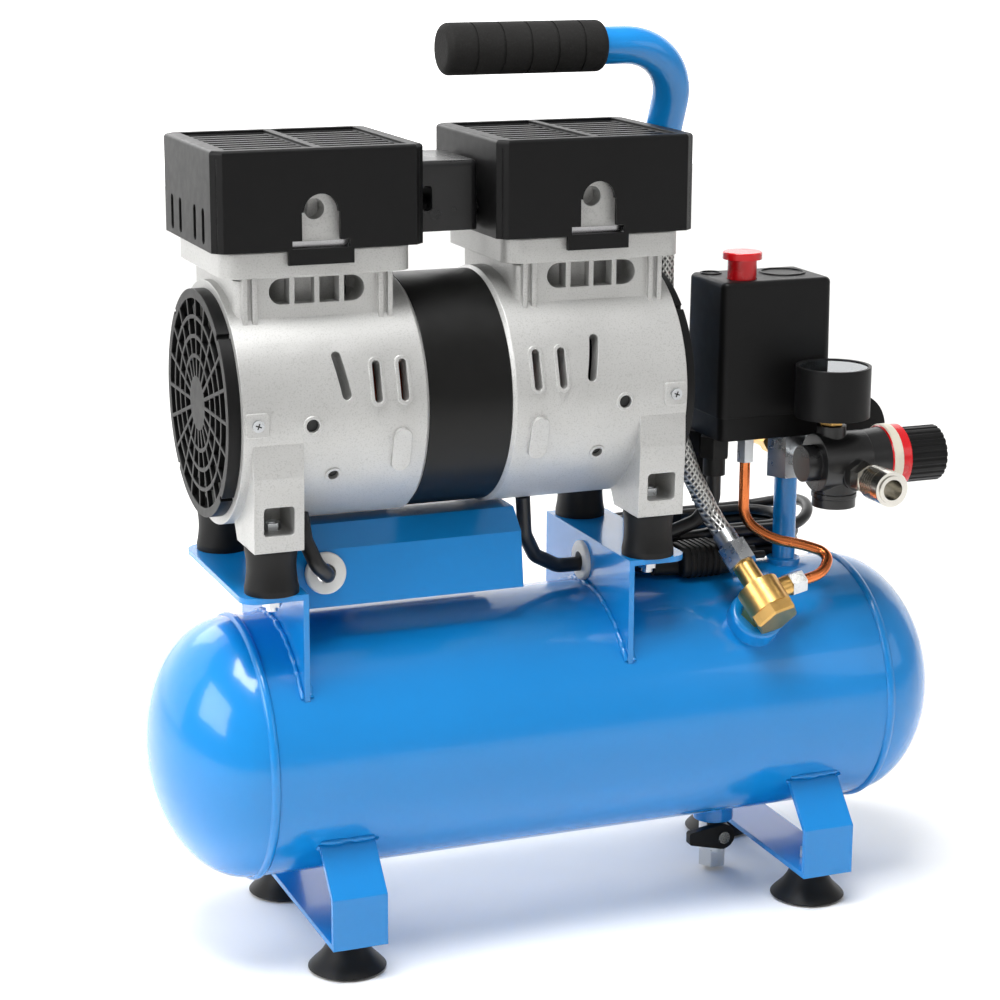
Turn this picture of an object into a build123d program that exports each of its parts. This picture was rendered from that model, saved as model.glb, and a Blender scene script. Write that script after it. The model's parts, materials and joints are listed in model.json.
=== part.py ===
"""A small oil-free air compressor: a twin-head electric pump on a 6 litre tank with four rubber feet."""
import math
import os
from build123d import *

# X runs along the tank, Y from front (-) to back (+), Z up from the floor. Millimetres.

# tank and feet
tank_radius = 70
tank_wall = 2.5
tank_z = 110.4            # height of the tank's axis
seam_x = 178.4            # the welds stand this far each side of the middle
dome_depth = 48
bead_radius = 2.6
leg_x = 137
leg_width = 30
leg_reach = 79            # outer face of a leg, from the middle
leg_sheet = 3
leg_bottom = 20.1
leg_crease = 47.5         # height at which a leg leans in to the tank
foot_y = 55.8
foot_radius = 20.8
screw_radius = 3          # M6 screws throughout the frame

# pump, along X above the tank
motor_x = -69.25          # middle of the pump
motor_z = 297.9
throw_x = 74.75           # each cylinder stands this far from the pump's middle
case_radius = 63
case_wall = 7
case_outer = 120.5        # outer rim of each end case, from the pump's middle
case_inner = 22.5         # inner rim
band_radius = 61.5
core_radius = 54
core_bore = 29
rotor_radius = 28.5
core_half = 30
winding_end = 50
shaft_radius = 6
shaft_half = 117
running_gap = 0.03        # radial clearance of a shaft in its bearing
bearing_radius = 16
bearing_width = 10
bearing_x = 58
web_thickness = 10
crank_offset = 4          # half the stroke
crank_radius = 11
crank_width = 12
piston_radius = 23.6
liner_bore = 24
liner_radius = 27
liner_bottom = 349
flange_bottom = 368
flange_top = 381
flange_x = 99
flange_y = 91
cover_x = 110
cover_y = 98
cover_top = 431.5
cover_wall = 2.5
fan_radius = 50
grille_thickness = 6.5
grille_radius = 58.8
part_gap = 0.3            # left between pieces that pass each other

# brackets under the pump
bracket_top = 207.5
bracket_sheet = 3
bracket_y = 57.6
left_plate_x = -157.3
right_plate_x = 23.8
bracket_flange = 31.5
mount_y = 46
mount_radius = 14
mount_top = 231.8
mount_left_x = -172
mount_right_x = 38

# pressure switch, riser and manifold
riser_x = 144.8
riser_radius = 6.5
riser_top = 232
manifold_top = 259
manifold_half = 12
switch_x = 125
switch_length = 68
switch_depth = 46
switch_bottom = 259
switch_seam = 272
switch_top = 347
switch_wall = 2.5
button_x = 109
button_y = -9
button_radius = 8
button_travel = 7

# regulator, gauges and coupling
regulator_x = 148
regulator_y = -45
regulator_z = 249
gauge_radius = 20.6
gauge_height = 28
gauge_bottom = 274.5
gauge_neck = 5
tank_gauge_x = 186
tank_gauge_y = 8
tank_gauge_z = 255
bonnet_radius = 17
bonnet_end = 178
knob_start = 190.4
knob_length = 23
knob_radius = 15.5
knob_lift = 3
coupler_x = 157
coupler_z = 244
coupler_start = -61
coupler_end = -98
coupler_lift = 3.5
coupler_bore = 5.6

# check valve on the tank's front
valve_x = 102
valve_angle = 42          # from straight up, towards the front
boss_radius = 15
boss_height = 9
valve_radius = 12

# drain under the tank
drain_x = 104.5
drain_end = 3
lever_length = 21
lever_z = 23.5

# handle
grip_z = 474
tube_radius = 10
grip_radius = 13.5
grip_start = -63
grip_end = 27
post_x = 74
post_y = 42

# mains lead
lead_radius = 3.25
motor_lead_radius = 4
hank_turn = 19.6          # inner turn's radius, three diameters
hank_turns = 2            # side by side
hank_layers = 3
hank_left = 74
hank_run = 68
hank_y = 40
hank_z = 180.7

os.makedirs("parts", exist_ok=True)


def finish(piece, name):
    piece.part.label = name
    export_step(piece.part, f"parts/{name}.step")


def around(x, y, z, direction, x_dir=None):
    """A plane at a point, facing along a direction."""
    return Plane(origin=(x, y, z), x_dir=x_dir, z_dir=direction)


def across(x):
    """A plane across the pump's axis."""
    return Plane(origin=(x, 0, motor_z), x_dir=(0, 1, 0), z_dir=(1, 0, 0))


tank_axis = Axis((0, 0, tank_z), (1, 0, 0))
barrel_half = seam_x - bead_radius
valve_out = Vector(0, -1, 0).rotate(Axis.X, -(90 - valve_angle))
left_throw = motor_x - throw_x
right_throw = motor_x + throw_x

# ---- tank ----
boss_plane = Plane(
    origin=Vector(valve_x, 0, tank_z) + valve_out * (tank_radius - tank_wall + 0.3),
    x_dir=(1, 0, 0), z_dir=valve_out)
boss_top = tank_radius + boss_height

with BuildPart() as tank_barrel:
    with BuildSketch(Plane.YZ.offset(-barrel_half)):
        with Locations((0, tank_z)):
            Circle(tank_radius)
    extrude(amount=2 * barrel_half)
    with BuildSketch(boss_plane):
        Circle(boss_radius)
    extrude(amount=boss_height + tank_wall - 0.3)
    fillet(tank_barrel.faces().sort_by(Axis(boss_plane.origin, valve_out))[-1].edges(), 2.5)
    with BuildSketch(Plane.XY.offset(tank_z - tank_radius - 9)):
        with Locations((drain_x, 0)):
            Circle(11.5)
    extrude(amount=9 + tank_wall)
    with BuildSketch(Plane.XY.offset(tank_z + tank_radius - 1)):
        with Locations((riser_x, 0)):
            Circle(riser_radius + 3)
    extrude(amount=4)
    with BuildSketch(Plane.YZ.offset(-barrel_half)):
        with Locations((0, tank_z)):
            Circle(tank_radius - tank_wall)
    extrude(amount=2 * barrel_half, mode=Mode.SUBTRACT)
    with BuildSketch(Plane.XY.offset(tank_z + tank_radius - 8)):
        with Locations((riser_x, 0)):
            Circle(riser_radius)
    extrude(amount=20, mode=Mode.SUBTRACT)
    with BuildSketch(boss_plane.offset(-6)):
        Circle(7)
    extrude(amount=30, mode=Mode.SUBTRACT)
    with BuildSketch(Plane.XY.offset(tank_z - tank_radius - 15)):
        with Locations((drain_x, 0)):
            Circle(5)
    extrude(amount=25, mode=Mode.SUBTRACT)
finish(tank_barrel, "tank_barrel")

with BuildPart() as tank_ends:
    with BuildSketch(Plane.XZ) as dome:
        with BuildLine():
            outer = EllipticalCenterArc((seam_x, tank_z), dome_depth, tank_radius, arc_size=90)
            inner = EllipticalCenterArc(
                (seam_x, tank_z), dome_depth - tank_wall, tank_radius - tank_wall, arc_size=90)
            Line(outer @ 0, inner @ 0)
            Polyline(outer @ 1, (barrel_half, tank_z + tank_radius),
                     (barrel_half, tank_z + tank_radius - tank_wall), inner @ 1)
        make_face()
        with Locations((seam_x, tank_z + tank_radius - 1)):
            Circle(bead_radius)
    revolve(axis=tank_axis)
    mirror(about=Plane.YZ)
finish(tank_ends, "tank_ends")

# ---- legs and feet ----
with BuildPart() as leg_brackets:
    with BuildSketch(Plane.YZ.offset(leg_x - leg_width / 2)):
        with BuildLine():
            half = leg_sheet / 2
            Polyline((-54, leg_crease + 26.5), (-leg_reach + half, leg_crease),
                     (-leg_reach + half, leg_bottom + half), (leg_reach - half, leg_bottom + half),
                     (leg_reach - half, leg_crease), (54, leg_crease + 26.5))
        trace(line_width=leg_sheet)
    extrude(amount=leg_width)
    with BuildSketch(Plane.YZ.offset(leg_x - leg_width)):
        with Locations((0, tank_z)):
            Circle(tank_radius)
    extrude(amount=2 * leg_width, mode=Mode.SUBTRACT)
    with BuildSketch(Plane.XY.offset(leg_bottom - 1)):
        with Locations((leg_x, -foot_y), (leg_x, foot_y)):
            Circle(screw_radius + 0.2)
    extrude(amount=leg_sheet + 2, mode=Mode.SUBTRACT)
    mirror(about=Plane.YZ)
finish(leg_brackets, "leg_brackets")

foot_spots = [(x, y) for x in (-leg_x, leg_x) for y in (-foot_y, foot_y)]
with BuildPart() as rubber_feet:
    with BuildSketch(Plane.XZ):
        with BuildLine():
            rim = Line((foot_radius - 3, 0), (foot_radius, 1.5))
            flare = Spline(rim @ 1, (foot_radius - 7, 9), (9.5, leg_bottom - 2.5),
                           tangents=[(-0.8, 1), (-0.35, 1)])
            Polyline(flare @ 1, (9.5, leg_bottom), (screw_radius + 0.2, leg_bottom),
                     (screw_radius + 0.2, 8), (8, 8), (8, 0), rim @ 0)
        make_face()
    revolve(axis=Axis.Z)
finish_foot = rubber_feet.part
with BuildPart() as rubber_feet:
    for spot in foot_spots:
        add(finish_foot.moved(Location((spot[0], spot[1], 0))))
finish(rubber_feet, "rubber_feet")

# ---- brackets that carry the pump ----
grommet_hole = 8.5
grommet_spot = (5, 192)   # along Y and Z, in the right bracket's plate


def motor_bracket(plate_x, side):
    """A bent angle welded on the tank, its flange turned outwards."""
    flange_end = plate_x + side * bracket_flange
    with BuildPart() as bracket:
        with BuildSketch(Plane.XY.offset(bracket_top - bracket_sheet)) as flange:
            with Locations(((plate_x + flange_end) / 2, 0)):
                Rectangle(bracket_flange + bracket_sheet, 2 * bracket_y)
            outer_corners = flange.vertices().group_by(Axis.X)[-1 if side > 0 else 0]
            fillet(outer_corners, 9)
        extrude(amount=bracket_sheet)
        with BuildSketch(Plane.YZ.offset(plate_x - bracket_sheet / 2)):
            with Locations((0, bracket_top - 35)):
                Rectangle(2 * bracket_y, 70)
        extrude(amount=bracket_sheet)
        with BuildSketch(Plane.YZ.offset(plate_x - 20)):
            with Locations((0, tank_z)):
                Circle(tank_radius)
        extrude(amount=40, mode=Mode.SUBTRACT)
        mount_x = mount_right_x if side > 0 else mount_left_x
        with BuildSketch(Plane.XY.offset(bracket_top - bracket_sheet - 1)):
            with Locations((mount_x, -mount_y), (mount_x, mount_y)):
                Circle(screw_radius + 0.2)
        extrude(amount=bracket_sheet + 2, mode=Mode.SUBTRACT)
    return bracket


left_motor_bracket = motor_bracket(left_plate_x, -1)
finish(left_motor_bracket, "left_motor_bracket")
right_bracket_blank = motor_bracket(right_plate_x, 1)
with BuildPart() as right_motor_bracket:
    add(right_bracket_blank.part)
    with BuildSketch(Plane.YZ.offset(right_plate_x - 5)):
        with Locations(grommet_spot):
            Circle(grommet_hole)
    extrude(amount=10, mode=Mode.SUBTRACT)
finish(right_motor_bracket, "right_motor_bracket")

mount_spots = [(x, y) for x in (mount_left_x, mount_right_x) for y in (-mount_y, mount_y)]
with BuildPart() as mount_blank:
    with BuildSketch(Plane.XZ):
        with BuildLine():
            side = Spline((mount_radius, bracket_top + 3), (mount_radius - 1.2, (bracket_top + mount_top) / 2),
                          (mount_radius - 0.4, mount_top - 2))
            Polyline(side @ 1, (mount_radius - 0.4, mount_top), (screw_radius + 0.2, mount_top),
                     (screw_radius + 0.2, bracket_top), (mount_radius, bracket_top), side @ 0)
        make_face()
    revolve(axis=Axis.Z)
with BuildPart() as rubber_mounts:
    for spot in mount_spots:
        add(mount_blank.part.moved(Location((spot[0], spot[1], 0))))
finish(rubber_mounts, "rubber_mounts")

# ---- wiring cover between the brackets, with the capacitor under it ----
cover_sheet = 1.5
cover_left = left_plate_x + bracket_sheet / 2
cover_right = -30
cover_front = -36
cover_bottom = 193
cover_shoulder = 222.5
cover_crown = 233
front_grommet = (-140, cover_front, 211)
sheet_lean = 4 / (cover_shoulder - cover_bottom)
front_grommet_plane = around(
    front_grommet[0], cover_front + sheet_lean * (front_grommet[2] - cover_bottom), front_grommet[2],
    (0, -1, sheet_lean))
with BuildPart() as wiring_cover:
    with BuildSketch(Plane.YZ.offset(cover_left)):
        with BuildLine():
            Polyline((cover_front, cover_bottom), (cover_front + 4, cover_shoulder), (cover_front + 15, cover_crown),
                     (-cover_front - 15, cover_crown), (-cover_front - 4, cover_shoulder),
                     (-cover_front, cover_bottom))
        trace(line_width=cover_sheet)
    extrude(amount=cover_right - cover_left)
    with BuildSketch(front_grommet_plane.offset(-5)):
        Circle(grommet_hole + part_gap)
    extrude(amount=10, mode=Mode.SUBTRACT)
finish(wiring_cover, "wiring_cover")

capacitor_radius = 16
with BuildPart() as capacitor:
    with BuildSketch(Plane.YZ.offset(-112)):
        with Locations((0, tank_z + tank_radius + capacitor_radius + 4)):
            Circle(capacitor_radius)
    extrude(amount=76)
    fillet(capacitor.edges().filter_by(GeomType.CIRCLE), 2)
    with BuildSketch(Plane.YZ.offset(-36)):
        with Locations((-6, tank_z + tank_radius + capacitor_radius + 4),
                       (6, tank_z + tank_radius + capacitor_radius + 4)):
            Rectangle(0.8, 6.3)
    extrude(amount=8)
finish(capacitor, "capacitor")


def grommet(plane):
    """A ring with a groove that the sheet sits in, 17 mm across the groove."""
    with BuildPart() as ring:
        with BuildSketch(plane.offset(-4)):
            Circle(grommet_hole + 2.5)
            Circle(grommet_hole - 3.4, mode=Mode.SUBTRACT)
        extrude(amount=8)
        fillet(ring.edges().filter_by(GeomType.CIRCLE).sort_by(SortBy.RADIUS)[-2:], 1.2)
        with BuildSketch(plane.offset(-bracket_sheet / 2)):
            Circle(grommet_hole + 3)
            Circle(grommet_hole, mode=Mode.SUBTRACT)
        extrude(amount=bracket_sheet, mode=Mode.SUBTRACT)
    return ring


right_grommet_plane = around(right_plate_x, grommet_spot[0], grommet_spot[1], (1, 0, 0))
with BuildPart() as cable_grommets:
    add(grommet(front_grommet_plane).part)
    add(grommet(right_grommet_plane).part)
finish(cable_grommets, "cable_grommets")

# ---- pump cases ----
foot_pad = 8
lug_length = 26


def pump_case(side):
    """One end case: barrel, bearing web, cylinder neck, top flange and two feet."""
    outer_x = motor_x + side * case_outer
    inner_x = motor_x + side * case_inner
    throw = motor_x + side * throw_x
    low = min(outer_x, inner_x)
    mount_x = mount_right_x if side > 0 else mount_left_x
    with BuildPart() as case:
        with BuildSketch(across(low)):
            Circle(case_radius)
        extrude(amount=case_outer - case_inner)
        chamfer(case.edges().filter_by(GeomType.CIRCLE).sort_by(Axis.X)[0 if side > 0 else -1], 2)
        # neck under the flange
        with BuildSketch(Plane.XY.offset(motor_z)):
            with Locations((throw, 0)):
                RectangleRounded(84, 80, 6)
        extrude(amount=flange_bottom - motor_z)
        for rib_x in (-38, -33, 33, 38):
            with BuildSketch(Plane.XY.offset(motor_z + 40)):
                with Locations((throw + rib_x, 0)):
                    Rectangle(2.4, 85)
            extrude(amount=flange_bottom - motor_z - 40)
        with BuildSketch(Plane.XY.offset(flange_bottom)):
            with Locations((throw, 0)):
                RectangleRounded(flange_x, flange_y, 10)
        extrude(amount=flange_top - flange_bottom)
        fillet(case.faces().sort_by(Axis.Z)[-1].edges().sort_by(Axis.Z)[-8:], 1)
        # feet
        with BuildSketch(around(mount_x - lug_length / 2, 0, 0, (1, 0, 0), (0, 1, 0))):
            with BuildLine():
                Polyline((-62, 289), (-62.8, 270), (-61, mount_top), (-30, mount_top), (-22, 246),
                         (-40, 289), close=True)
            make_face()
            mirror(about=Plane.YZ)
        extrude(amount=lug_length)
        for face_side in (-1, 1):
            with BuildSketch(Plane.XZ.offset(-face_side * 70)):
                with Locations((mount_x, mount_top + foot_pad + 8)):
                    RectangleRounded(lug_length - 10, 15, 2)
            extrude(amount=face_side * 34, mode=Mode.SUBTRACT)
        # hollow inside
        with BuildSketch(across(low - 1)):
            Circle(core_radius)
        extrude(amount=case_outer - case_inner + 2, mode=Mode.SUBTRACT)
        # bearing web
        web_x = motor_x + side * bearing_x - web_thickness / 2
        with BuildSketch(across(web_x)):
            Circle(core_radius + 1)
            with PolarLocations(38, 6):
                Circle(8, mode=Mode.SUBTRACT)
            Circle(bearing_radius, mode=Mode.SUBTRACT)
        extrude(amount=web_thickness)
        # cylinder well and windows
        with BuildSketch(Plane.XY.offset(liner_bottom + 1)):
            with Locations((throw, 0)):
                Circle(liner_radius)
        extrude(amount=60, mode=Mode.SUBTRACT)
        with BuildSketch(Plane.XY.offset(motor_z + 20)):
            with Locations((throw, 0)):
                Circle(liner_radius)
        extrude(amount=60, mode=Mode.SUBTRACT)
        with BuildSketch(Plane.XY.offset(352)):
            with Locations((throw, 0)):
                Circle(34)
        extrude(amount=15, mode=Mode.SUBTRACT)
        with BuildSketch(Plane.XZ.offset(-60)) as window:
            with Locations((throw, 360)):
                SlotOverall(50, 13)
            with Locations((throw - 13, 360), (throw, 360), (throw + 13, 360)):
                Rectangle(2.6, 14, mode=Mode.SUBTRACT)
        extrude(amount=120, mode=Mode.SUBTRACT)
        # screw holes for the feet
        with BuildSketch(Plane.XY.offset(mount_top - 1)):
            with Locations((mount_x, -mount_y), (mount_x, mount_y)):
                Circle(screw_radius + 0.2)
        extrude(amount=foot_pad + 2, mode=Mode.SUBTRACT)
        # flange screws
        with BuildSketch(Plane.XY.offset(flange_bottom - 2)):
            with Locations((throw, 0)):
                with GridLocations(flange_x - 16, flange_y - 16, 2, 2):
                    Circle(screw_radius)
        extrude(amount=20, mode=Mode.SUBTRACT)
    return case




def case_face(x, angle):
    """A plane on the pump's axis that looks out through the case at an angle above the front."""
    facing = Vector(0, -1, 0).rotate(Axis.X, -angle)
    return Plane(origin=(x, 0, motor_z), x_dir=(1, 0, 0), z_dir=facing)


def with_vents(case_part, side):
    """Slots, holes and raised bosses on the front and the back of a case."""
    with BuildPart() as case:
        add(case_part)
        for front in (0, 180):
            turn = 1 if front == 0 else -1
            for reach in (36.2, 50.2):
                face = case_face(motor_x + side * reach, front + turn * 16)
                with BuildSketch(face.offset(case_radius - 5)):
                    SlotOverall(25, 7.6, rotation=90)
                extrude(amount=5.2)
                with BuildSketch(face.offset(core_radius - 6)):
                    SlotOverall(21.5, 4.2, rotation=90)
                extrude(amount=20, mode=Mode.SUBTRACT)
            face = case_face(motor_x + side * 68.3, front + turn * 20)
            with BuildSketch(face.offset(core_radius - 6)):
                SlotOverall(25, 5, rotation=90 - side * turn * 10)
            extrude(amount=25, mode=Mode.SUBTRACT)
            for reach, angle, hole in ((85, -2, 3.4), (72.4, -28, 2.8)):
                face = case_face(motor_x + side * reach, front + turn * angle)
                with BuildSketch(face.offset(case_radius - 5)):
                    Circle(hole + 1.5)
                extrude(amount=5.6)
                with BuildSketch(face.offset(case_radius - 2.5)):
                    Circle(hole)
                extrude(amount=6, mode=Mode.SUBTRACT)
            face = case_face(motor_x + side * 37.5, front - turn * 17)
            with BuildSketch(face.offset(case_radius - 5)):
                SlotOverall(24, 10, rotation=90)
            extrude(amount=6.2)
            face = case_face(motor_x + side * (case_outer - 7), front)
            with BuildSketch(face.offset(case_radius - 5)):
                RectangleRounded(12, 12, 1.5)
            extrude(amount=6)
            with BuildSketch(face.offset(case_radius - 4)):
                Circle(1.6)
            extrude(amount=8, mode=Mode.SUBTRACT)
    return case


left_motor_housing = with_vents(pump_case(-1).part, -1)
finish(left_motor_housing, "left_motor_housing")
right_motor_housing = with_vents(pump_case(1).part, 1)
finish(right_motor_housing, "right_motor_housing")

# ---- motor inside the band ----
with BuildPart() as stator_band:
    with BuildSketch(across(motor_x - case_inner)):
        Circle(band_radius)
        Circle(core_radius, mode=Mode.SUBTRACT)
    extrude(amount=2 * case_inner)
finish(stator_band, "stator_band")

with BuildPart() as stator_core:
    with BuildSketch(across(motor_x - core_half)):
        Circle(core_radius - 0.02)
        Circle(core_bore, mode=Mode.SUBTRACT)
        with PolarLocations(core_bore + 9, 12):
            Rectangle(12, 6, mode=Mode.SUBTRACT)
    extrude(amount=2 * core_half)
finish(stator_core, "stator_core")

with BuildPart() as windings:
    for side in (-1, 1):
        with BuildSketch(across(motor_x + side * core_half)):
            Circle(core_radius - 5)
            Circle(core_bore + 3, mode=Mode.SUBTRACT)
        extrude(amount=side * (winding_end - core_half))
    fillet(windings.edges().filter_by(GeomType.CIRCLE).group_by(Axis.X)[0], 5)
    fillet(windings.edges().filter_by(GeomType.CIRCLE).group_by(Axis.X)[-1], 5)
finish(windings, "windings")

with BuildPart() as rotor_shaft:
    with BuildSketch(across(motor_x - shaft_half)):
        Circle(shaft_radius)
    extrude(amount=2 * shaft_half)
    chamfer(rotor_shaft.edges().filter_by(GeomType.CIRCLE), 0.6)
finish(rotor_shaft, "rotor_shaft")

with BuildPart() as rotor_core:
    with BuildSketch(across(motor_x - core_half - 3)):
        Circle(rotor_radius)
        Circle(shaft_radius, mode=Mode.SUBTRACT)
    extrude(amount=2 * core_half + 6)
finish(rotor_core, "rotor_core")

with BuildPart() as shaft_bearings:
    for side in (-1, 1):
        with BuildSketch(across(motor_x + side * bearing_x - bearing_width / 2)):
            Circle(bearing_radius)
            Circle(shaft_radius + running_gap, mode=Mode.SUBTRACT)
        extrude(amount=bearing_width)
finish(shaft_bearings, "shaft_bearings")

with BuildPart() as eccentrics:
    for side in (-1, 1):
        start = motor_x + side * throw_x - crank_width / 2
        with BuildSketch(across(start)):
            with Locations((side * crank_offset, 0)):
                Circle(crank_radius)
            Circle(shaft_radius, mode=Mode.SUBTRACT)
        extrude(amount=crank_width)
        weight = start + crank_width if side > 0 else start - 7
        with BuildSketch(across(weight)):
            with BuildLine():
                swing = CenterArc((0, 0), 34, 110 if side > 0 else -70, 140)
                Polyline(swing @ 1, (0, 0), swing @ 0)
            make_face()
            Circle(13)
            Circle(shaft_radius, mode=Mode.SUBTRACT)
        extrude(amount=7)
finish(eccentrics, "eccentrics")

with BuildPart() as cooling_fans:
    for side in (-1, 1):
        near = motor_x + side * 99
        with BuildSketch(across(near)):
            Circle(15)
            Circle(shaft_radius, mode=Mode.SUBTRACT)
        extrude(amount=side * 15)
        for blade in range(7):
            lean = Plane(origin=(near + side * 7, 0, motor_z), x_dir=(1, 0, 0),
                         z_dir=Vector(0, 0, 1).rotate(Axis.X, blade * 360 / 7))
            with BuildSketch(lean.offset(13)):
                Rectangle(15, 2.2, rotation=side * 32)
            extrude(amount=fan_radius - 13)
finish(cooling_fans, "cooling_fans")

big_end_bore = crank_radius + 2 * crank_offset + 0.6
big_end_radius = big_end_bore + 4
piston_crown = flange_top - 10 - crank_offset


def piston_rod(side, name):
    """A piston, its rod and its big end in one casting, as oil-free pumps have."""
    throw = motor_x + side * throw_x
    with BuildPart() as rod:
        with BuildSketch(across(throw - 4)):
            Circle(big_end_radius)
        extrude(amount=8)
        with BuildSketch(Plane.XY.offset(motor_z + big_end_bore + 2)):
            with Locations((throw, 0)):
                Rectangle(7, 12)
        extrude(amount=piston_crown - motor_z - big_end_bore - 4)
        with BuildSketch(Plane.XY.offset(piston_crown - 8)):
            with Locations((throw, 0)):
                Circle(piston_radius)
        extrude(amount=8)
        with BuildSketch(across(throw - 5)):
            Circle(big_end_bore)
        extrude(amount=10, mode=Mode.SUBTRACT)
    finish(rod, name)


piston_rod(-1, "left_piston_rod")
piston_rod(1, "right_piston_rod")

with BuildPart() as cylinder_liners:
    for throw in (left_throw, right_throw):
        with BuildSketch(Plane.XY.offset(liner_bottom)):
            with Locations((throw, 0)):
                Circle(liner_radius)
                Circle(liner_bore, mode=Mode.SUBTRACT)
        extrude(amount=flange_top - liner_bottom)
finish(cylinder_liners, "cylinder_liners")

# ---- heads and their covers ----
plate_top = flange_top + 4
head_top = plate_top + 24
head_bore = 5.2
with BuildPart() as valve_plates:
    for throw in (left_throw, right_throw):
        with BuildSketch(Plane.XY.offset(flange_top)):
            with Locations((throw, 0)):
                RectangleRounded(flange_x - 4, flange_y - 4, 9)
                with Locations((-12, 0), (12, 0)):
                    Circle(5, mode=Mode.SUBTRACT)
                with GridLocations(flange_x - 16, flange_y - 16, 2, 2):
                    Circle(screw_radius, mode=Mode.SUBTRACT)
        extrude(amount=plate_top - flange_top)
finish(valve_plates, "valve_plates")

port_z = plate_top + 10
port_y = 12
with BuildPart() as cylinder_heads:
    for throw in (left_throw, right_throw):
        with BuildSketch(Plane.XY.offset(plate_top)):
            with Locations((throw, 0)):
                RectangleRounded(flange_x - 4, flange_y - 4, 9)
        extrude(amount=head_top - plate_top)
        with BuildSketch(Plane.XY.offset(plate_top + 9)):
            with Locations((throw, 0)):
                with GridLocations(11, 0, 8, 1):
                    Rectangle(5.5, 70)
        extrude(amount=40, mode=Mode.SUBTRACT)
        for face in (-1, 1):
            with BuildSketch(Plane.XZ.offset(face * (flange_y / 2 - 2))):
                with Locations((throw - 2, plate_top + 16)):
                    Circle(head_bore)
            extrude(amount=-face * 9, mode=Mode.SUBTRACT)
        with BuildSketch(Plane.XY.offset(plate_top)):
            with Locations((throw, 0)):
                RectangleRounded(64, 30, 5)
        extrude(amount=6, mode=Mode.SUBTRACT)
        with BuildSketch(Plane.XY.offset(plate_top - 1)):
            with Locations((throw, 0)):
                with GridLocations(flange_x - 16, flange_y - 16, 2, 2):
                    Circle(screw_radius, mode=Mode.ADD)
        extrude(amount=40, mode=Mode.SUBTRACT)
finish(cylinder_heads, "cylinder_heads")

arch_width = 20


def head_cover(side, name):
    """A louvred plastic cover over one head, open below, with an arch at front and back."""
    throw = motor_x + side * throw_x
    with BuildPart() as cover:
        with BuildSketch(Plane.XY.offset(flange_top + part_gap)) as outline:
            with Locations((throw, 0)):
                Rectangle(cover_x, cover_y)
            chamfer(outline.vertices(), 5)
        extrude(amount=cover_top - flange_top - part_gap)
        fillet(cover.faces().sort_by(Axis.Z)[-1].edges(), 2)
        with BuildSketch(Plane.XY.offset(flange_top)):
            with Locations((throw, 0)):
                Rectangle(cover_x - 2 * cover_wall, cover_y - 2 * cover_wall)
        extrude(amount=cover_top - flange_top - cover_wall - 1.5, mode=Mode.SUBTRACT)
        # louvres in two columns
        with BuildSketch(Plane.XY.offset(cover_top - 1.5)):
            with Locations((throw - 24.5, 0), (throw + 24.5, 0)):
                Rectangle(45, 86)
        extrude(amount=3, mode=Mode.SUBTRACT)
        with BuildSketch(Plane.XY.offset(cover_top - 8)):
            with Locations((throw, 0)):
                with GridLocations(49, 9.4, 2, 9):
                    Rectangle(43, 5)
        extrude(amount=12, mode=Mode.SUBTRACT)
        # arches, with a clip under each
        with BuildSketch(Plane.XZ.offset(-cover_y)):
            with Locations((throw, flange_top + 9)):
                Rectangle(arch_width, 20)
            with Locations((throw, flange_top + 19)):
                Circle(arch_width / 2 - 1)
            with Locations((throw, flange_top + 2)):
                Rectangle(arch_width + 12, 6)
        extrude(amount=2 * cover_y, mode=Mode.SUBTRACT)
        for face in (-1, 1):
            with BuildSketch(Plane.XY.offset(flange_top - 7)):
                with Locations((throw, face * (cover_y / 2 - 1.2))):
                    Rectangle(34, 2.4)
            extrude(amount=8)
            with BuildSketch(Plane.XY.offset(flange_top)):
                with Locations((throw - 16, face * (cover_y / 2 - 1.2)),
                               (throw + 16, face * (cover_y / 2 - 1.2))):
                    Rectangle(2, 2.4)
            extrude(amount=6)
        # slots in the outer end wall, ports in the inner and outer ones
        with BuildSketch(Plane.YZ.offset(throw + side * (cover_x / 2 + 5))):
            with Locations((-30, flange_top + 12), (-14, flange_top + 12), (30, flange_top + 12),
                           (14, flange_top + 12)):
                SlotOverall(18, 5, rotation=90)
        extrude(amount=-side * 12, mode=Mode.SUBTRACT)
        with BuildSketch(Plane.YZ.offset(throw - side * (cover_x / 2 + 5))):
            with Locations((-port_y, port_z), (port_y, port_z)):
                Circle(port_radius + 1)
        extrude(amount=side * 12, mode=Mode.SUBTRACT)
        if side > 0:
            with BuildSketch(Plane.YZ.offset(throw + cover_x / 2 - 8)):
                with Locations((outlet_y, outlet_z)):
                    Circle(outlet_radius + 1)
            extrude(amount=20, mode=Mode.SUBTRACT)
    finish(cover, name)


port_radius = 6
outlet_y = 4
outlet_z = plate_top + 13
outlet_radius = 5
head_cover(-1, "left_head_cover")
head_cover(1, "right_head_cover")

gap_left = left_throw + cover_x / 2
gap_right = right_throw - cover_x / 2
head_inner_left = left_throw + (flange_x - 4) / 2
head_inner_right = right_throw - (flange_x - 4) / 2
with BuildPart() as crossover_block:
    with BuildSketch(Plane.XY.offset(flange_top + 3)):
        with Locations(((gap_left + gap_right) / 2, 0)):
            RectangleRounded(gap_right - gap_left - 5, 52, 4)
    extrude(amount=36)
    fillet(crossover_block.faces().sort_by(Axis.Z)[-1].edges(), 3)
    with BuildSketch(Plane.XZ.offset(-40)):
        with Locations((gap_left + 9, flange_top + 20)):
            RectangleRounded(5, 13, 2)
    extrude(amount=80, mode=Mode.SUBTRACT)
    with BuildSketch(Plane.YZ.offset(head_inner_left)):
        with Locations((-port_y, port_z), (port_y, port_z)):
            Circle(port_radius)
    extrude(amount=head_inner_right - head_inner_left)
finish(crossover_block, "crossover_block")

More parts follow.
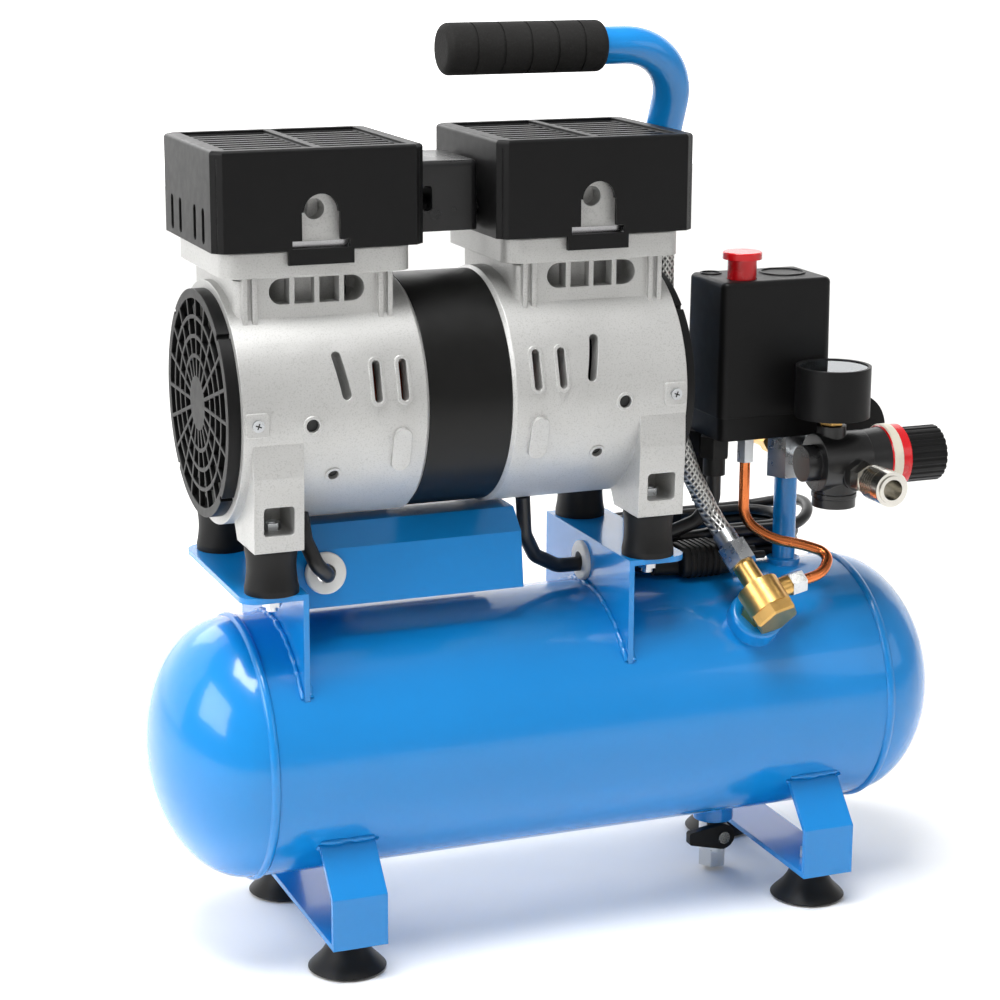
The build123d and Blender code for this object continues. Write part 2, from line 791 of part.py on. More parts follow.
# ---- fan grilles ----
with BuildPart() as fan_grilles:
    for side in (-1, 1):
        near = motor_x + side * case_outer
        with BuildSketch(across(near)):
            Circle(grille_radius)
            Circle(core_radius, mode=Mode.SUBTRACT)
        extrude(amount=side * grille_thickness)
        with BuildSketch(across(near + side * (grille_thickness - 2.5))):
            for radius in (44.5, 34.5, 24.5):
                Circle(radius + 1)
                Circle(radius - 1, mode=Mode.SUBTRACT)
            with PolarLocations(34, 20):
                Rectangle(44, 1.8)
            Circle(14)
        extrude(amount=side * 2.5)
        with BuildSketch(across(near - side)):
            with PolarLocations(58, 4, start_angle=45):
                Circle(1.6)
        extrude(amount=side * 10, mode=Mode.SUBTRACT)
finish(fan_grilles, "fan_grilles")

# ---- screws and nuts ----
nut_radius = 5.2


# each row: place, lower end, upper end, underside of the hexagon, its height
screw_rows = [(spot, 5, leg_bottom + leg_sheet + 7, leg_bottom + leg_sheet, 4.5) for spot in foot_spots]
for spot in mount_spots:
    under = bracket_top - bracket_sheet
    screw_rows.append((spot, under - 7, bracket_top + 7, under - 4.5, 4.5))
    screw_rows.append((spot, mount_top - 7, mount_top + foot_pad + 5, mount_top + foot_pad + 0.5, 3.8))

with BuildPart() as machine_screws:
    for spot, low, high, head_at, head_height in screw_rows:
        with BuildSketch(Plane.XY.offset(low)):
            with Locations(spot):
                Circle(screw_radius)
        extrude(amount=high - low)
        with BuildSketch(Plane.XY.offset(head_at)):
            with Locations(spot):
                RegularPolygon(nut_radius, 6)
        extrude(amount=head_height)
    for spot in foot_spots:
        with BuildSketch(Plane.XY.offset(5)):
            with Locations(spot):
                Circle(6)
        extrude(amount=3)
    for side in (-1, 1):
        for front in (-1, 1):
            screw_plane = around(motor_x + side * (case_outer - 7), 0, motor_z, (0, front, 0))
            with BuildSketch(screw_plane.offset(case_radius - 4)):
                Circle(1.5)
            extrude(amount=6)
            with BuildSketch(screw_plane.offset(case_radius + 1)):
                Circle(3)
            extrude(amount=1.5)
finish(machine_screws, "machine_screws")

# ---- pressure switch ----
with BuildPart() as switch_base:
    with BuildSketch(Plane.XY.offset(switch_bottom)):
        with Locations((switch_x, 0)):
            RectangleRounded(switch_length - 2, switch_depth - 2, 5)
    extrude(amount=switch_seam - switch_bottom)
    with BuildSketch(Plane.XY.offset(switch_bottom + 4)):
        with Locations((switch_x, 0)):
            RectangleRounded(switch_length - 8, switch_depth - 8, 3)
    extrude(amount=20, mode=Mode.SUBTRACT)
    with BuildSketch(Plane.XY.offset(switch_bottom)):
        with Locations((button_x, button_y)):
            Circle(5)
    extrude(amount=45)
finish(switch_base, "switch_base")

with BuildPart() as switch_cover:
    with BuildSketch(Plane.XY.offset(switch_seam)):
        with Locations((switch_x, 0)):
            RectangleRounded(switch_length, switch_depth, 5)
    extrude(amount=switch_top - switch_seam, taper=0.6)
    fillet(switch_cover.faces().sort_by(Axis.Z)[-1].edges(), 3)
    with BuildSketch(Plane.XY.offset(switch_seam)):
        with Locations((switch_x, 0)):
            RectangleRounded(switch_length - 2 * switch_wall, switch_depth - 2 * switch_wall, 3)
    extrude(amount=switch_top - switch_seam - switch_wall, taper=0.6, mode=Mode.SUBTRACT)
    with BuildSketch(Plane.XY.offset(switch_top - 10)):
        with Locations((button_x, button_y)):
            Circle(button_radius + 0.4)
    extrude(amount=20, mode=Mode.SUBTRACT)
    with BuildSketch(Plane.XY.offset(switch_top - 0.5)):
        with Locations((switch_x + 15, 3)):
            Circle(13)
            Circle(11.5, mode=Mode.SUBTRACT)
        with Locations((switch_x - 24, 13)):
            Circle(6)
            Circle(5, mode=Mode.SUBTRACT)
    extrude(amount=1.2)
finish(switch_cover, "switch_cover")

button_low = switch_top - 14
with BuildPart() as switch_button:
    with BuildSketch(Plane.XY.offset(button_low)):
        with Locations((button_x, button_y)):
            Circle(button_radius)
    extrude(amount=switch_top + 15 - button_low)
    with BuildSketch(Plane.XY.offset(switch_top + 11)):
        with Locations((button_x, button_y)):
            Circle(button_radius + 2.8)
    extrude(amount=4)
    fillet(switch_button.edges().filter_by(GeomType.CIRCLE).sort_by(Axis.Z)[-2:], 0.9)
finish(switch_button, "switch_button")

motor_gland = (97, -5)
mains_gland = (97, 13.5)
gland_end = 237
with BuildPart() as cable_glands:
    for spot, bore in ((motor_gland, motor_lead_radius), (mains_gland, lead_radius)):
        with BuildSketch(Plane.XY.offset(gland_end + 10)):
            with Locations(spot):
                RegularPolygon(8.6, 6)
        extrude(amount=switch_bottom - gland_end - 10)
        with BuildSketch(Plane.XY.offset(gland_end)):
            with Locations(spot):
                Circle(6.2)
        extrude(amount=12)
        with BuildSketch(Plane.XY.offset(gland_end)):
            with Locations(spot):
                Circle(bore)
        extrude(amount=8, mode=Mode.SUBTRACT)
finish(cable_glands, "cable_glands")

# ---- riser, manifold, safety valve ----
body_half = 16            # radius of the regulator's body
with BuildPart() as riser_tube:
    with BuildSketch(Plane.XY.offset(tank_z + tank_radius - tank_wall)):
        with Locations((riser_x, 0)):
            Circle(riser_radius)
            Circle(riser_radius - 2, mode=Mode.SUBTRACT)
    extrude(amount=riser_top - tank_z - tank_radius + tank_wall)
finish(riser_tube, "riser_tube")

with BuildPart() as manifold:
    with BuildSketch(Plane.XY.offset(riser_top)):
        with Locations((riser_x, 0)):
            RegularPolygon(manifold_half, 6)
    extrude(amount=manifold_top - riser_top)
    with BuildSketch(Plane.XZ):
        with Locations((regulator_x, regulator_z)):
            Circle(6.5)
    extrude(amount=-regulator_y - body_half - 2)
    with BuildSketch(Plane.YZ.offset(riser_x + manifold_half / 2)):
        with Locations((tank_gauge_y, regulator_z)):
            Circle(5)
    extrude(amount=tank_gauge_x - gauge_radius - riser_x - manifold_half / 2)
finish(manifold, "manifold")

safety_x = riser_x - 2
safety_start = manifold_half * math.cos(math.pi / 6)
with BuildPart() as safety_valve:
    with BuildSketch(Plane.XZ.offset(-safety_start)):
        with Locations((safety_x, regulator_z)):
            RegularPolygon(7.5, 6)
    extrude(amount=-8)
    with BuildSketch(Plane.XZ.offset(-safety_start - 8)):
        with Locations((safety_x, regulator_z)):
            Circle(6)
    extrude(amount=-16)
    with BuildSketch(Plane.XZ.offset(-safety_start)):
        with Locations((safety_x, regulator_z)):
            Circle(1.5 + running_gap)
    extrude(amount=-40, mode=Mode.SUBTRACT)
finish(safety_valve, "safety_valve")

ring_y = safety_start + 24 + 2 + 9
with BuildPart() as safety_ring:
    with BuildSketch(Plane.XZ.offset(-safety_start - 12)):
        with Locations((safety_x, regulator_z)):
            Circle(1.5)
    extrude(amount=-(ring_y - 8 - safety_start - 12))
    with BuildSketch(around(safety_x, ring_y, regulator_z - 0.9, (0, 0, 1))):
        Circle(9)
        Circle(7, mode=Mode.SUBTRACT)
    extrude(amount=1.8)
finish(safety_ring, "safety_ring")

# ---- regulator ----
with BuildPart() as regulator_body:
    with BuildSketch(Plane.YZ.offset(regulator_x - 18)):
        with Locations((regulator_y, regulator_z)):
            Circle(10)
    extrude(amount=14)
    with BuildSketch(Plane.YZ.offset(regulator_x - 9.8)):
        with Locations((regulator_y, regulator_z)):
            Circle(body_half)
    extrude(amount=28.6)
    with BuildSketch(Plane.XZ.offset(-regulator_y - body_half + 2)):
        with Locations((regulator_x, regulator_z)):
            Circle(9)
    extrude(amount=-4)
    with BuildSketch(Plane.XY.offset(regulator_z)):
        with Locations((regulator_x, regulator_y)):
            Circle(8)
    extrude(amount=gauge_bottom - regulator_z - gauge_neck)
    with BuildSketch(Plane.XY.offset(regulator_z - 25)):
        with Locations((regulator_x + 3, regulator_y)):
            Circle(12)
    extrude(amount=20)
    with BuildSketch(Plane.YZ.offset(regulator_x + 10)):
        with Locations((regulator_y, regulator_z)):
            Circle(body_half - 1)
    extrude(amount=bonnet_end - regulator_x - 10, taper=-5)
    with BuildSketch(Plane.XZ.offset(-regulator_y)):
        with Locations((coupler_x, coupler_z)):
            Circle(9)
    extrude(amount=regulator_y - coupler_start)
    with BuildSketch(Plane.YZ.offset(regulator_x + 14)):
        with Locations((regulator_y, regulator_z)):
            Circle(4 + running_gap)
    extrude(amount=60, mode=Mode.SUBTRACT)
finish(regulator_body, "regulator_body")

with BuildPart() as lock_ring:
    with BuildSketch(Plane.YZ.offset(bonnet_end)):
        with Locations((regulator_y, regulator_z)):
            Circle(bonnet_radius + 0.8)
            Circle(4 + running_gap, mode=Mode.SUBTRACT)
    extrude(amount=knob_start - part_gap - bonnet_end)
    chamfer(lock_ring.edges().filter_by(GeomType.CIRCLE).sort_by(SortBy.RADIUS)[-2:], 0.8)
finish(lock_ring, "lock_ring")

with BuildPart() as adjusting_screw:
    with BuildSketch(Plane.YZ.offset(regulator_x + 16)):
        with Locations((regulator_y, regulator_z)):
            Circle(4)
    extrude(amount=knob_start + 16 - regulator_x - 16)
finish(adjusting_screw, "adjusting_screw")

with BuildPart() as regulator_knob:
    with BuildSketch(Plane.YZ.offset(knob_start)):
        with Locations((regulator_y, regulator_z)):
            Circle(knob_radius)
            with PolarLocations(knob_radius + 0.5, 24):
                Circle(1.1, mode=Mode.SUBTRACT)
    extrude(amount=knob_length)
    fillet(regulator_knob.faces().sort_by(Axis.X)[-1].edges(), 0.6)
    with BuildSketch(Plane.YZ.offset(knob_start)):
        with Locations((regulator_y, regulator_z)):
            Circle(4 + running_gap)
    extrude(amount=20, mode=Mode.SUBTRACT)
finish(regulator_knob, "regulator_knob")

# ---- gauges ----
outlet_gauge = around(regulator_x, regulator_y, gauge_bottom, (0, 0, 1), (1, 0, 0))
tank_gauge = around(tank_gauge_x, tank_gauge_y - 10, tank_gauge_z, (0, 1, 0), (-1, 0, 0))
glass_depth = 2
dial_depth = 7
gauge_depths = {"outlet": gauge_height, "tank": 24}

with BuildPart() as gauge_cases:
    for plane, height in ((outlet_gauge, gauge_depths["outlet"]), (tank_gauge, gauge_depths["tank"])):
        with BuildSketch(plane):
            Circle(gauge_radius)
        extrude(amount=height)
        with BuildSketch(plane.offset(height - dial_depth)):
            Circle(gauge_radius - 1.8)
        extrude(amount=dial_depth, mode=Mode.SUBTRACT)
        with BuildSketch(plane.offset(height - dial_depth)):
            Circle(0.8)
        extrude(amount=3.5)
    with BuildSketch(outlet_gauge):
        RegularPolygon(6, 6)
    extrude(amount=-gauge_neck)
finish(gauge_cases, "gauge_cases")

with BuildPart() as gauge_lenses:
    for plane, height in ((outlet_gauge, gauge_depths["outlet"]), (tank_gauge, gauge_depths["tank"])):
        with BuildSketch(plane.offset(height - glass_depth)):
            Circle(gauge_radius - 1.8)
        extrude(amount=1.4)
finish(gauge_lenses, "gauge_lenses")

for name, plane in (("outlet", outlet_gauge), ("tank", tank_gauge)):
    with BuildPart() as needle:
        with BuildSketch(plane.offset(gauge_depths[name] - dial_depth + 1.2)):
            Circle(2.4)
            with BuildLine():
                Polyline((1.2, 1.2), (-10.4, -9.6), (-9.6, -10.4), close=True)
            make_face()
            Circle(0.8 + running_gap, mode=Mode.SUBTRACT)
        extrude(amount=0.8)
    finish(needle, f"{name}_needle")

# ---- coupling ----
socket_depth = 22
mouth = around(coupler_x, coupler_end, coupler_z, (0, -1, 0))
body_length = coupler_start - coupler_end
with BuildPart() as coupler_body:
    with BuildSketch(mouth.offset(-body_length)):
        Circle(5.5)
    extrude(amount=8)
    with BuildSketch(mouth.offset(-body_length + 5)):
        RegularPolygon(9.2, 6)
    extrude(amount=8)
    with BuildSketch(mouth.offset(-body_length + 13)):
        Circle(7.6)
    extrude(amount=body_length - 13)
    with BuildSketch(mouth):
        Circle(coupler_bore)
    extrude(amount=-socket_depth, mode=Mode.SUBTRACT)
finish(coupler_body, "coupler_body")

with BuildPart() as coupler_sleeve:
    with BuildSketch(mouth.offset(-1)):
        Circle(9.6)
    extrude(amount=-(body_length - 13 - coupler_lift - 2.5))
    for groove in range(5):
        with BuildSketch(mouth.offset(-9 - 2.1 * groove)):
            Circle(10)
            Circle(8.9, mode=Mode.SUBTRACT)
        extrude(amount=0.9, mode=Mode.SUBTRACT)
    with BuildSketch(mouth):
        Circle(7.6 + running_gap)
    extrude(amount=-body_length, mode=Mode.SUBTRACT)
finish(coupler_sleeve, "coupler_sleeve")

# ---- check valve, hose and unloader tube ----
valve_foot = Vector(valve_x, 0, tank_z) + valve_out * boss_top
valve_centre = valve_foot + valve_out * (valve_radius + 1)
down_front = Vector(1, 0, 0).cross(valve_out)
barrel_dir = (down_front + Vector(0.22, 0, 0)).normalized()
side_dir = (barrel_dir.cross(valve_out) * -1).normalized()
barrel = Plane(origin=valve_centre, x_dir=side_dir, z_dir=barrel_dir)
side_port = Plane(origin=valve_centre - barrel_dir * 4, x_dir=barrel_dir, z_dir=side_dir)
top_port = Plane(origin=valve_centre, x_dir=side_dir, z_dir=barrel_dir * -1)

with BuildPart() as check_valve:
    with BuildSketch(Plane(origin=valve_foot, x_dir=(1, 0, 0), z_dir=valve_out)):
        RegularPolygon(10, 6)
    extrude(amount=valve_radius)
    with BuildSketch(barrel.offset(-9)):
        Circle(valve_radius)
    extrude(amount=16)
    with BuildSketch(barrel.offset(7)):
        RegularPolygon(13, 6)
    extrude(amount=7)
    chamfer(check_valve.faces().sort_by(Axis(valve_centre, barrel_dir))[-1].edges(), 1)
    with BuildSketch(top_port.offset(8)):
        Circle(6.2)
    extrude(amount=16)
    with BuildSketch(side_port.offset(8)):
        Circle(5.6)
    extrude(amount=11)
finish(check_valve, "check_valve")

hose_radius = 5.5
hose_x = 68
outlet_drop = 12
hose_start = valve_centre - barrel_dir * 46
hose_lead = valve_centre - barrel_dir * 60
hose_top = outlet_z - outlet_drop
with BuildPart() as line_fittings:
    with BuildSketch(top_port.offset(24)):
        RegularPolygon(9, 6)
    extrude(amount=13)
    with BuildSketch(top_port.offset(37)):
        Circle(hose_radius + 1)
    extrude(amount=9)
    with BuildSketch(side_port.offset(17.5)):
        RegularPolygon(6.6, 6)
    extrude(amount=9.5)
    with BuildSketch(side_port.offset(15)):
        Circle(5.6)
    extrude(amount=5, mode=Mode.SUBTRACT)
    # elbow out of the right head
    with BuildSketch(Plane.YZ.offset(right_throw + (flange_x - 4) / 2)):
        with Locations((outlet_y, outlet_z)):
            Circle(outlet_radius)
    extrude(amount=hose_x - right_throw - (flange_x - 4) / 2)
    with BuildSketch(Plane.XY.offset(hose_top)):
        with Locations((hose_x, outlet_y)):
            Circle(hose_radius + 1)
    extrude(amount=outlet_z - hose_top + 6)
    with BuildSketch(Plane.XY.offset(switch_bottom - 13)):
        with Locations((110, -17)):
            RegularPolygon(5, 6)
    extrude(amount=13)
finish(line_fittings, "line_fittings")

hose_points = [hose_start, hose_lead, (80, -11, 240), (73, -4, 266), (hose_x, outlet_y, 300),
               (hose_x, outlet_y, hose_top)]
with BuildPart() as braided_hose:
    with BuildLine() as hose_path:
        FilletPolyline(*hose_points, radius=20)
    with BuildSketch(Plane(origin=hose_path.line @ 0, z_dir=hose_path.line % 0)):
        Circle(hose_radius)
    sweep()
finish(braided_hose, "braided_hose")


def bend_radii(points, name):
    """A radius for each corner: 0.45 of the shorter run over the tangent of half the turn."""
    spots = [Vector(*p) for p in points]
    radii = []
    for before, here, after in zip(spots, spots[1:], spots[2:]):
        first = here - before
        second = after - here
        turn = math.radians(first.get_angle(second))
        radii.append(0.45 * min(first.length, second.length) / math.tan(turn / 2))
    print(name, "radii", [round(r, 1) for r in radii])
    return radii


tube_end = valve_centre - barrel_dir * 4 + side_dir * 27
tube_out = valve_centre - barrel_dir * 4 + side_dir * 42
copper_points = [(110, -17, switch_bottom - 13), (110, -17, 212), (124, -25, 202), (140, -32, 199),
                 (152, -41, 195), tube_out, tube_end]
with BuildPart() as copper_tube:
    with BuildLine() as copper_path:
        FilletPolyline(*copper_points, radius=bend_radii(copper_points, "copper tube"))
    with BuildSketch(Plane(origin=copper_path.line @ 0, z_dir=copper_path.line % 0)):
        Circle(3)
    sweep()
finish(copper_tube, "copper_tube")

# ---- drain ----
drain_top = tank_z - tank_radius - 9
pivot_y = -8
with BuildPart() as drain_valve:
    with BuildSketch(Plane.XY.offset(12)):
        with Locations((drain_x, 0)):
            Circle(8)
    extrude(amount=drain_top - 12)
    with BuildSketch(Plane.XY.offset(drain_end)):
        with Locations((drain_x, 0)):
            RegularPolygon(8.4, 6)
    extrude(amount=10)
    with BuildSketch(Plane.XY.offset(drain_end - 1)):
        with Locations((drain_x, 0)):
            Circle(4)
    extrude(amount=9, mode=Mode.SUBTRACT)
    with BuildSketch(around(drain_x, 0, lever_z, (0, -1, 0))):
        Circle(2.5)
    extrude(amount=15)
    with BuildSketch(around(drain_x, -13.6, lever_z, (0, -1, 0))):
        Circle(3.6)
    extrude(amount=2)
finish(drain_valve, "drain_valve")

with BuildPart() as drain_lever:
    with BuildSketch(around(drain_x, pivot_y - 0.4, lever_z, (0, -1, 0), (1, 0, 0))):
        Circle(7.5)
        with BuildLine():
            Polyline((-2, 7.2), (-lever_length, 4.5), (-lever_length, -2.5), (-2, -7.2), close=True)
        make_face()
        Circle(2.5 + running_gap, mode=Mode.SUBTRACT)
    extrude(amount=5)
    fillet(drain_lever.edges().filter_by(Axis.Y).sort_by(Axis.X)[:2], 1.5)
finish(drain_lever, "drain_lever")

# ---- handle ----
handle_points = [(grip_start + 6, 0, grip_z), (post_x, 0, grip_z), (post_x, post_y, grip_z - 95),
                 (post_x, post_y, tank_z + 40)]
with BuildPart() as handle_tube:
    with BuildLine() as handle_path:
        FilletPolyline(*handle_points, radius=[34, 50])
    with BuildSketch(Plane(origin=handle_path.line @ 0, z_dir=handle_path.line % 0)):
        Circle(tube_radius)
        Circle(tube_radius - 1.8, mode=Mode.SUBTRACT)
    sweep()
    with BuildSketch(Plane.YZ.offset(post_x - 40)):
        with Locations((0, tank_z)):
            Circle(tank_radius)
    extrude(amount=80, mode=Mode.SUBTRACT)
finish(handle_tube, "handle_tube")

with BuildPart() as handle_grip:
    with BuildSketch(Plane.YZ.offset(grip_start)):
        with Locations((0, grip_z)):
            Circle(grip_radius)
    extrude(amount=grip_end - grip_start)
    fillet(handle_grip.edges(), 4)
    for groove in range(1, 6):
        with BuildSketch(Plane.YZ.offset(grip_start + groove * (grip_end - grip_start) / 6)):
            with Locations((0, grip_z)):
                Circle(grip_radius + 1)
                Circle(grip_radius - 0.8, mode=Mode.SUBTRACT)
        extrude(amount=1.2, mode=Mode.SUBTRACT)
    with BuildSketch(Plane.YZ.offset(grip_start + 6)):
        with Locations((0, grip_z)):
            Circle(tube_radius)
    extrude(amount=grip_end - grip_start, mode=Mode.SUBTRACT)
finish(handle_grip, "handle_grip")

# ---- leads to the motor ----
lead_x = -20
lead_drop = motor_z - (case_radius ** 2 - 10 ** 2) ** 0.5
side_drop = motor_z - (case_radius ** 2 - 30 ** 2) ** 0.5
motor_lead_points = [
    (motor_gland[0], motor_gland[1], gland_end + 8), (motor_gland[0], motor_gland[1], 222),
    (88, -2, 210), (72, 2, 203), (54, 4, 196.5), (38, 5, 192), (24, 5, 190), (6, 3, 191),
    (-10, -3, 200), (-18, -8, 214), (lead_x, -10, lead_drop)]
capacitor_lead_points = [
    (-151, -30, side_drop), (-152, -40, 231), (-148, -47, 219), (-141, -43.5, 212), (-139, -32, 210),
    (-130, -20, 206)]
with BuildPart() as motor_leads:
    for points, bend in ((motor_lead_points, 10), (capacitor_lead_points, 6)):
        with BuildLine() as lead_path:
            FilletPolyline(*points, radius=bend)
        with BuildSketch(Plane(origin=lead_path.line @ 0, z_dir=lead_path.line % 0)):
            Circle(motor_lead_radius)
        sweep(path=lead_path.line)
finish(motor_leads, "motor_leads")


# ---- mains cord, tied in a hank behind the riser ----


cord_pitch = 2 * lead_radius
strand_y = hank_y - hank_turn - (hank_turns - 1) * cord_pitch
strand_x = hank_left - hank_turn - (hank_turns - 1) * cord_pitch
hank_top = hank_z + hank_layers * cord_pitch
mains_points = [(mains_gland[0], mains_gland[1], gland_end + 8), (mains_gland[0], mains_gland[1], 224),
                (100, 13, 212), (108, strand_y, 203), (120, strand_y + 0.2, hank_top - lead_radius + 0.6)]
plug_length = 34
plug_left = 74
plug_y = -6
plug_z = 189.8
tail_z = 186
tail_points = [(plug_left - 14, plug_y, tail_z), (50, plug_y + 0.5, tail_z), (43.5, 3, tail_z),
               (42.5, 16, tail_z), (strand_x - 0.6, 29, tail_z + 0.3), (strand_x, 38, tail_z + 0.5)]
with BuildPart() as mains_cord:
    for points, name in ((mains_points, "mains cord"), (tail_points, "mains tail")):
        with BuildLine() as cord_path:
            FilletPolyline(*points, radius=bend_radii(points, name))
        with BuildSketch(Plane(origin=cord_path.line @ 0, z_dir=cord_path.line % 0)):
            Circle(lead_radius)
        sweep(path=cord_path.line)
finish(mains_cord, "mains_cord")

hank_middle = hank_left + hank_run / 2
hank_inner = hank_turn - lead_radius
hank_outer = hank_turn + (hank_turns - 1) * cord_pitch + lead_radius
with BuildPart() as mains_hank:
    with BuildSketch(Plane.XY.offset(hank_z)):
        with Locations((hank_middle, hank_y)):
            SlotCenterToCenter(hank_run, 2 * hank_outer)
            SlotCenterToCenter(hank_run, 2 * hank_inner, mode=Mode.SUBTRACT)
    extrude(amount=hank_layers * cord_pitch)
finish(mains_hank, "mains_hank")

with BuildPart() as mains_plug:
    with BuildSketch(Plane.YZ.offset(plug_left)):
        with Locations((plug_y, plug_z)):
            RectangleRounded(24, 17, 6)
    extrude(amount=plug_length)
    fillet(mains_plug.edges().filter_by(GeomType.LINE, reverse=True), 2)
    with BuildSketch(Plane.YZ.offset(plug_left + 2)):
        with Locations((plug_y, tail_z)):
            Circle(lead_radius + 1.6)
    extrude(amount=-16, taper=4)
    with BuildSketch(Plane.YZ.offset(plug_left + plug_length - 2)):
        with Locations((plug_y - 6, plug_z), (plug_y + 6, plug_z)):
            Circle(2.2)
    extrude(amount=20)
finish(mains_plug, "mains_plug")
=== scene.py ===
import json
import math
import random

import bmesh
import bpy
from mathutils import Matrix, Vector


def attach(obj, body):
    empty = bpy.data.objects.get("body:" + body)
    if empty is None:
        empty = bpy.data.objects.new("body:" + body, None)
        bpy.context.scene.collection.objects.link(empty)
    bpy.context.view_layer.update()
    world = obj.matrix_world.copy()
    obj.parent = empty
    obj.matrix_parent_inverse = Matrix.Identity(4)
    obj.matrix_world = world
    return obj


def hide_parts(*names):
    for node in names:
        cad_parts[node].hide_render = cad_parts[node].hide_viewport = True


random.seed(7)
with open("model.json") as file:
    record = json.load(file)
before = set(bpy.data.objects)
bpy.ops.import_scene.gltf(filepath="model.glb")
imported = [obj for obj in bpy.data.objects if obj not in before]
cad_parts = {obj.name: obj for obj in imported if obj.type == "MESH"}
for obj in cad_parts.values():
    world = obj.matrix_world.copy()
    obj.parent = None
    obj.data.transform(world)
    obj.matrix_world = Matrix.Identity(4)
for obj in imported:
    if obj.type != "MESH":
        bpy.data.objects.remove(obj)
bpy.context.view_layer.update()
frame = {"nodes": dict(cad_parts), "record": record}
nodes = frame["nodes"]
print("frame loaded:", len(nodes), "nodes")


def mm(x, y, z):
    return Vector((x, y, z)) / 1000


# Camera
camera = {"spot": (-525.2, -1251.5, 569.9), "yaw": 21.62, "pitch": 14.09, "roll": 0.26, "lens": 92.18}


def addCamera(look):
    data = bpy.data.cameras.new("camera")
    data.sensor_width = 36
    data.lens = look["lens"]
    view = bpy.data.objects.new("camera", data)
    bpy.context.scene.collection.objects.link(view)
    yaw = math.radians(look["yaw"])
    pitch = math.radians(look["pitch"])
    ahead = Vector((math.sin(yaw) * math.cos(pitch), math.cos(yaw) * math.cos(pitch), -math.sin(pitch)))
    turn = ahead.to_track_quat("-Z", "Y").to_matrix().to_4x4()
    roll = Matrix.Rotation(math.radians(look["roll"]), 4, "Z")
    view.matrix_world = Matrix.Translation(mm(*look["spot"])) @ turn @ roll
    data.clip_start = 0.05
    data.clip_end = 50
    bpy.context.scene.camera = view


addCamera(camera)


# Lights and floor
lights = [
    {"name": "keyLight", "spot": (-350, -260, 1850), "aim": (0, 0, 220), "size": 1.0, "power": 36},
    {"name": "leftLight", "spot": (-1600, -180, 950), "aim": (0, 0, 220), "size": 1.1, "power": 15},
    {"name": "rightLight", "spot": (1400, -1300, 900), "aim": (0, 0, 220), "size": 1.1, "power": 3},
    {"name": "backLight", "spot": (-300, 1500, 1100), "aim": (0, 0, 300), "size": 1.0, "power": 6},
]


def addLight(look):
    data = bpy.data.lights.new(look["name"], "AREA")
    data.shape = "RECTANGLE"
    data.size = look["size"]
    data.size_y = look["size"] * 0.7
    data.energy = look["power"]
    lamp = bpy.data.objects.new(look["name"], data)
    bpy.context.scene.collection.objects.link(lamp)
    lamp.location = mm(*look["spot"])
    lamp.rotation_mode = "QUATERNION"
    lamp.rotation_quaternion = (mm(*look["aim"]) - mm(*look["spot"])).to_track_quat("-Z", "Y")


for look in lights:
    addLight(look)

world = bpy.data.worlds.new("studio")
bpy.context.scene.world = world
world.use_nodes = True
sky = world.node_tree.nodes["Background"].inputs
sky["Color"].default_value = (1.0, 0.99, 0.975, 1)
sky["Strength"].default_value = 0.4
bpy.context.scene.view_settings.view_transform = "Standard"
print("camera and lights set")


class Nodes:
    # A material's node tree, built a node at a time.
    def __init__(self, name):
        self.material = bpy.data.materials.new(name)
        self.material.use_nodes = True
        self.tree = self.material.node_tree
        self.shader = self.tree.nodes["Principled BSDF"]
        self.place = self.add("ShaderNodeTexCoord").outputs["Object"]

    def add(self, kind, inputs=None, **settings):
        node = self.tree.nodes.new(kind)
        for key, value in settings.items():
            setattr(node, key, value)
        for key, value in (inputs or {}).items():
            if isinstance(value, bpy.types.NodeSocket):
                self.tree.links.new(value, node.inputs[key])
            else:
                node.inputs[key].default_value = value
        return node

    def link(self, output, key):
        self.tree.links.new(output, self.shader.inputs[key])

    def noise(self, scale, detail=3.0, stretch=None):
        place = self.place
        if stretch:
            place = self.add("ShaderNodeMapping", {"Vector": self.place, "Scale": stretch}).outputs["Vector"]
        settings = {"Vector": place, "Scale": scale, "Detail": detail}
        return self.add("ShaderNodeTexNoise", settings).outputs["Fac"]

    def spread(self, value, low, high, start=0.35, end=0.65):
        settings = {"Value": value, "From Min": start, "From Max": end, "To Min": low, "To Max": high}
        return self.add("ShaderNodeMapRange", settings).outputs["Result"]

    def blend(self, share, first, second):
        settings = {0: share, 6: (*first, 1) if isinstance(first, tuple) else first,
                    7: (*second, 1) if isinstance(second, tuple) else second}
        return self.add("ShaderNodeMix", settings, data_type="RGBA").outputs[2]

    def bump(self, height, strength, distance, onto=None):
        settings = {"Height": height, "Strength": strength, "Distance": distance}
        if onto:
            settings["Normal"] = onto
        return self.add("ShaderNodeBump", settings).outputs["Normal"]

    def edges(self, radius):
        # A softened normal, and how far it has turned: 0 on a flat face and 1 along an edge.
        soft = self.add("ShaderNodeBevel", {"Radius": radius}, samples=4).outputs["Normal"]
        flat = self.add("ShaderNodeNewGeometry").outputs["Normal"]
        likeness = self.add("ShaderNodeVectorMath", {0: soft, 1: flat}, operation="DOT_PRODUCT")
        return soft, self.spread(likeness.outputs["Value"], 1, 0, 0.8, 0.99)


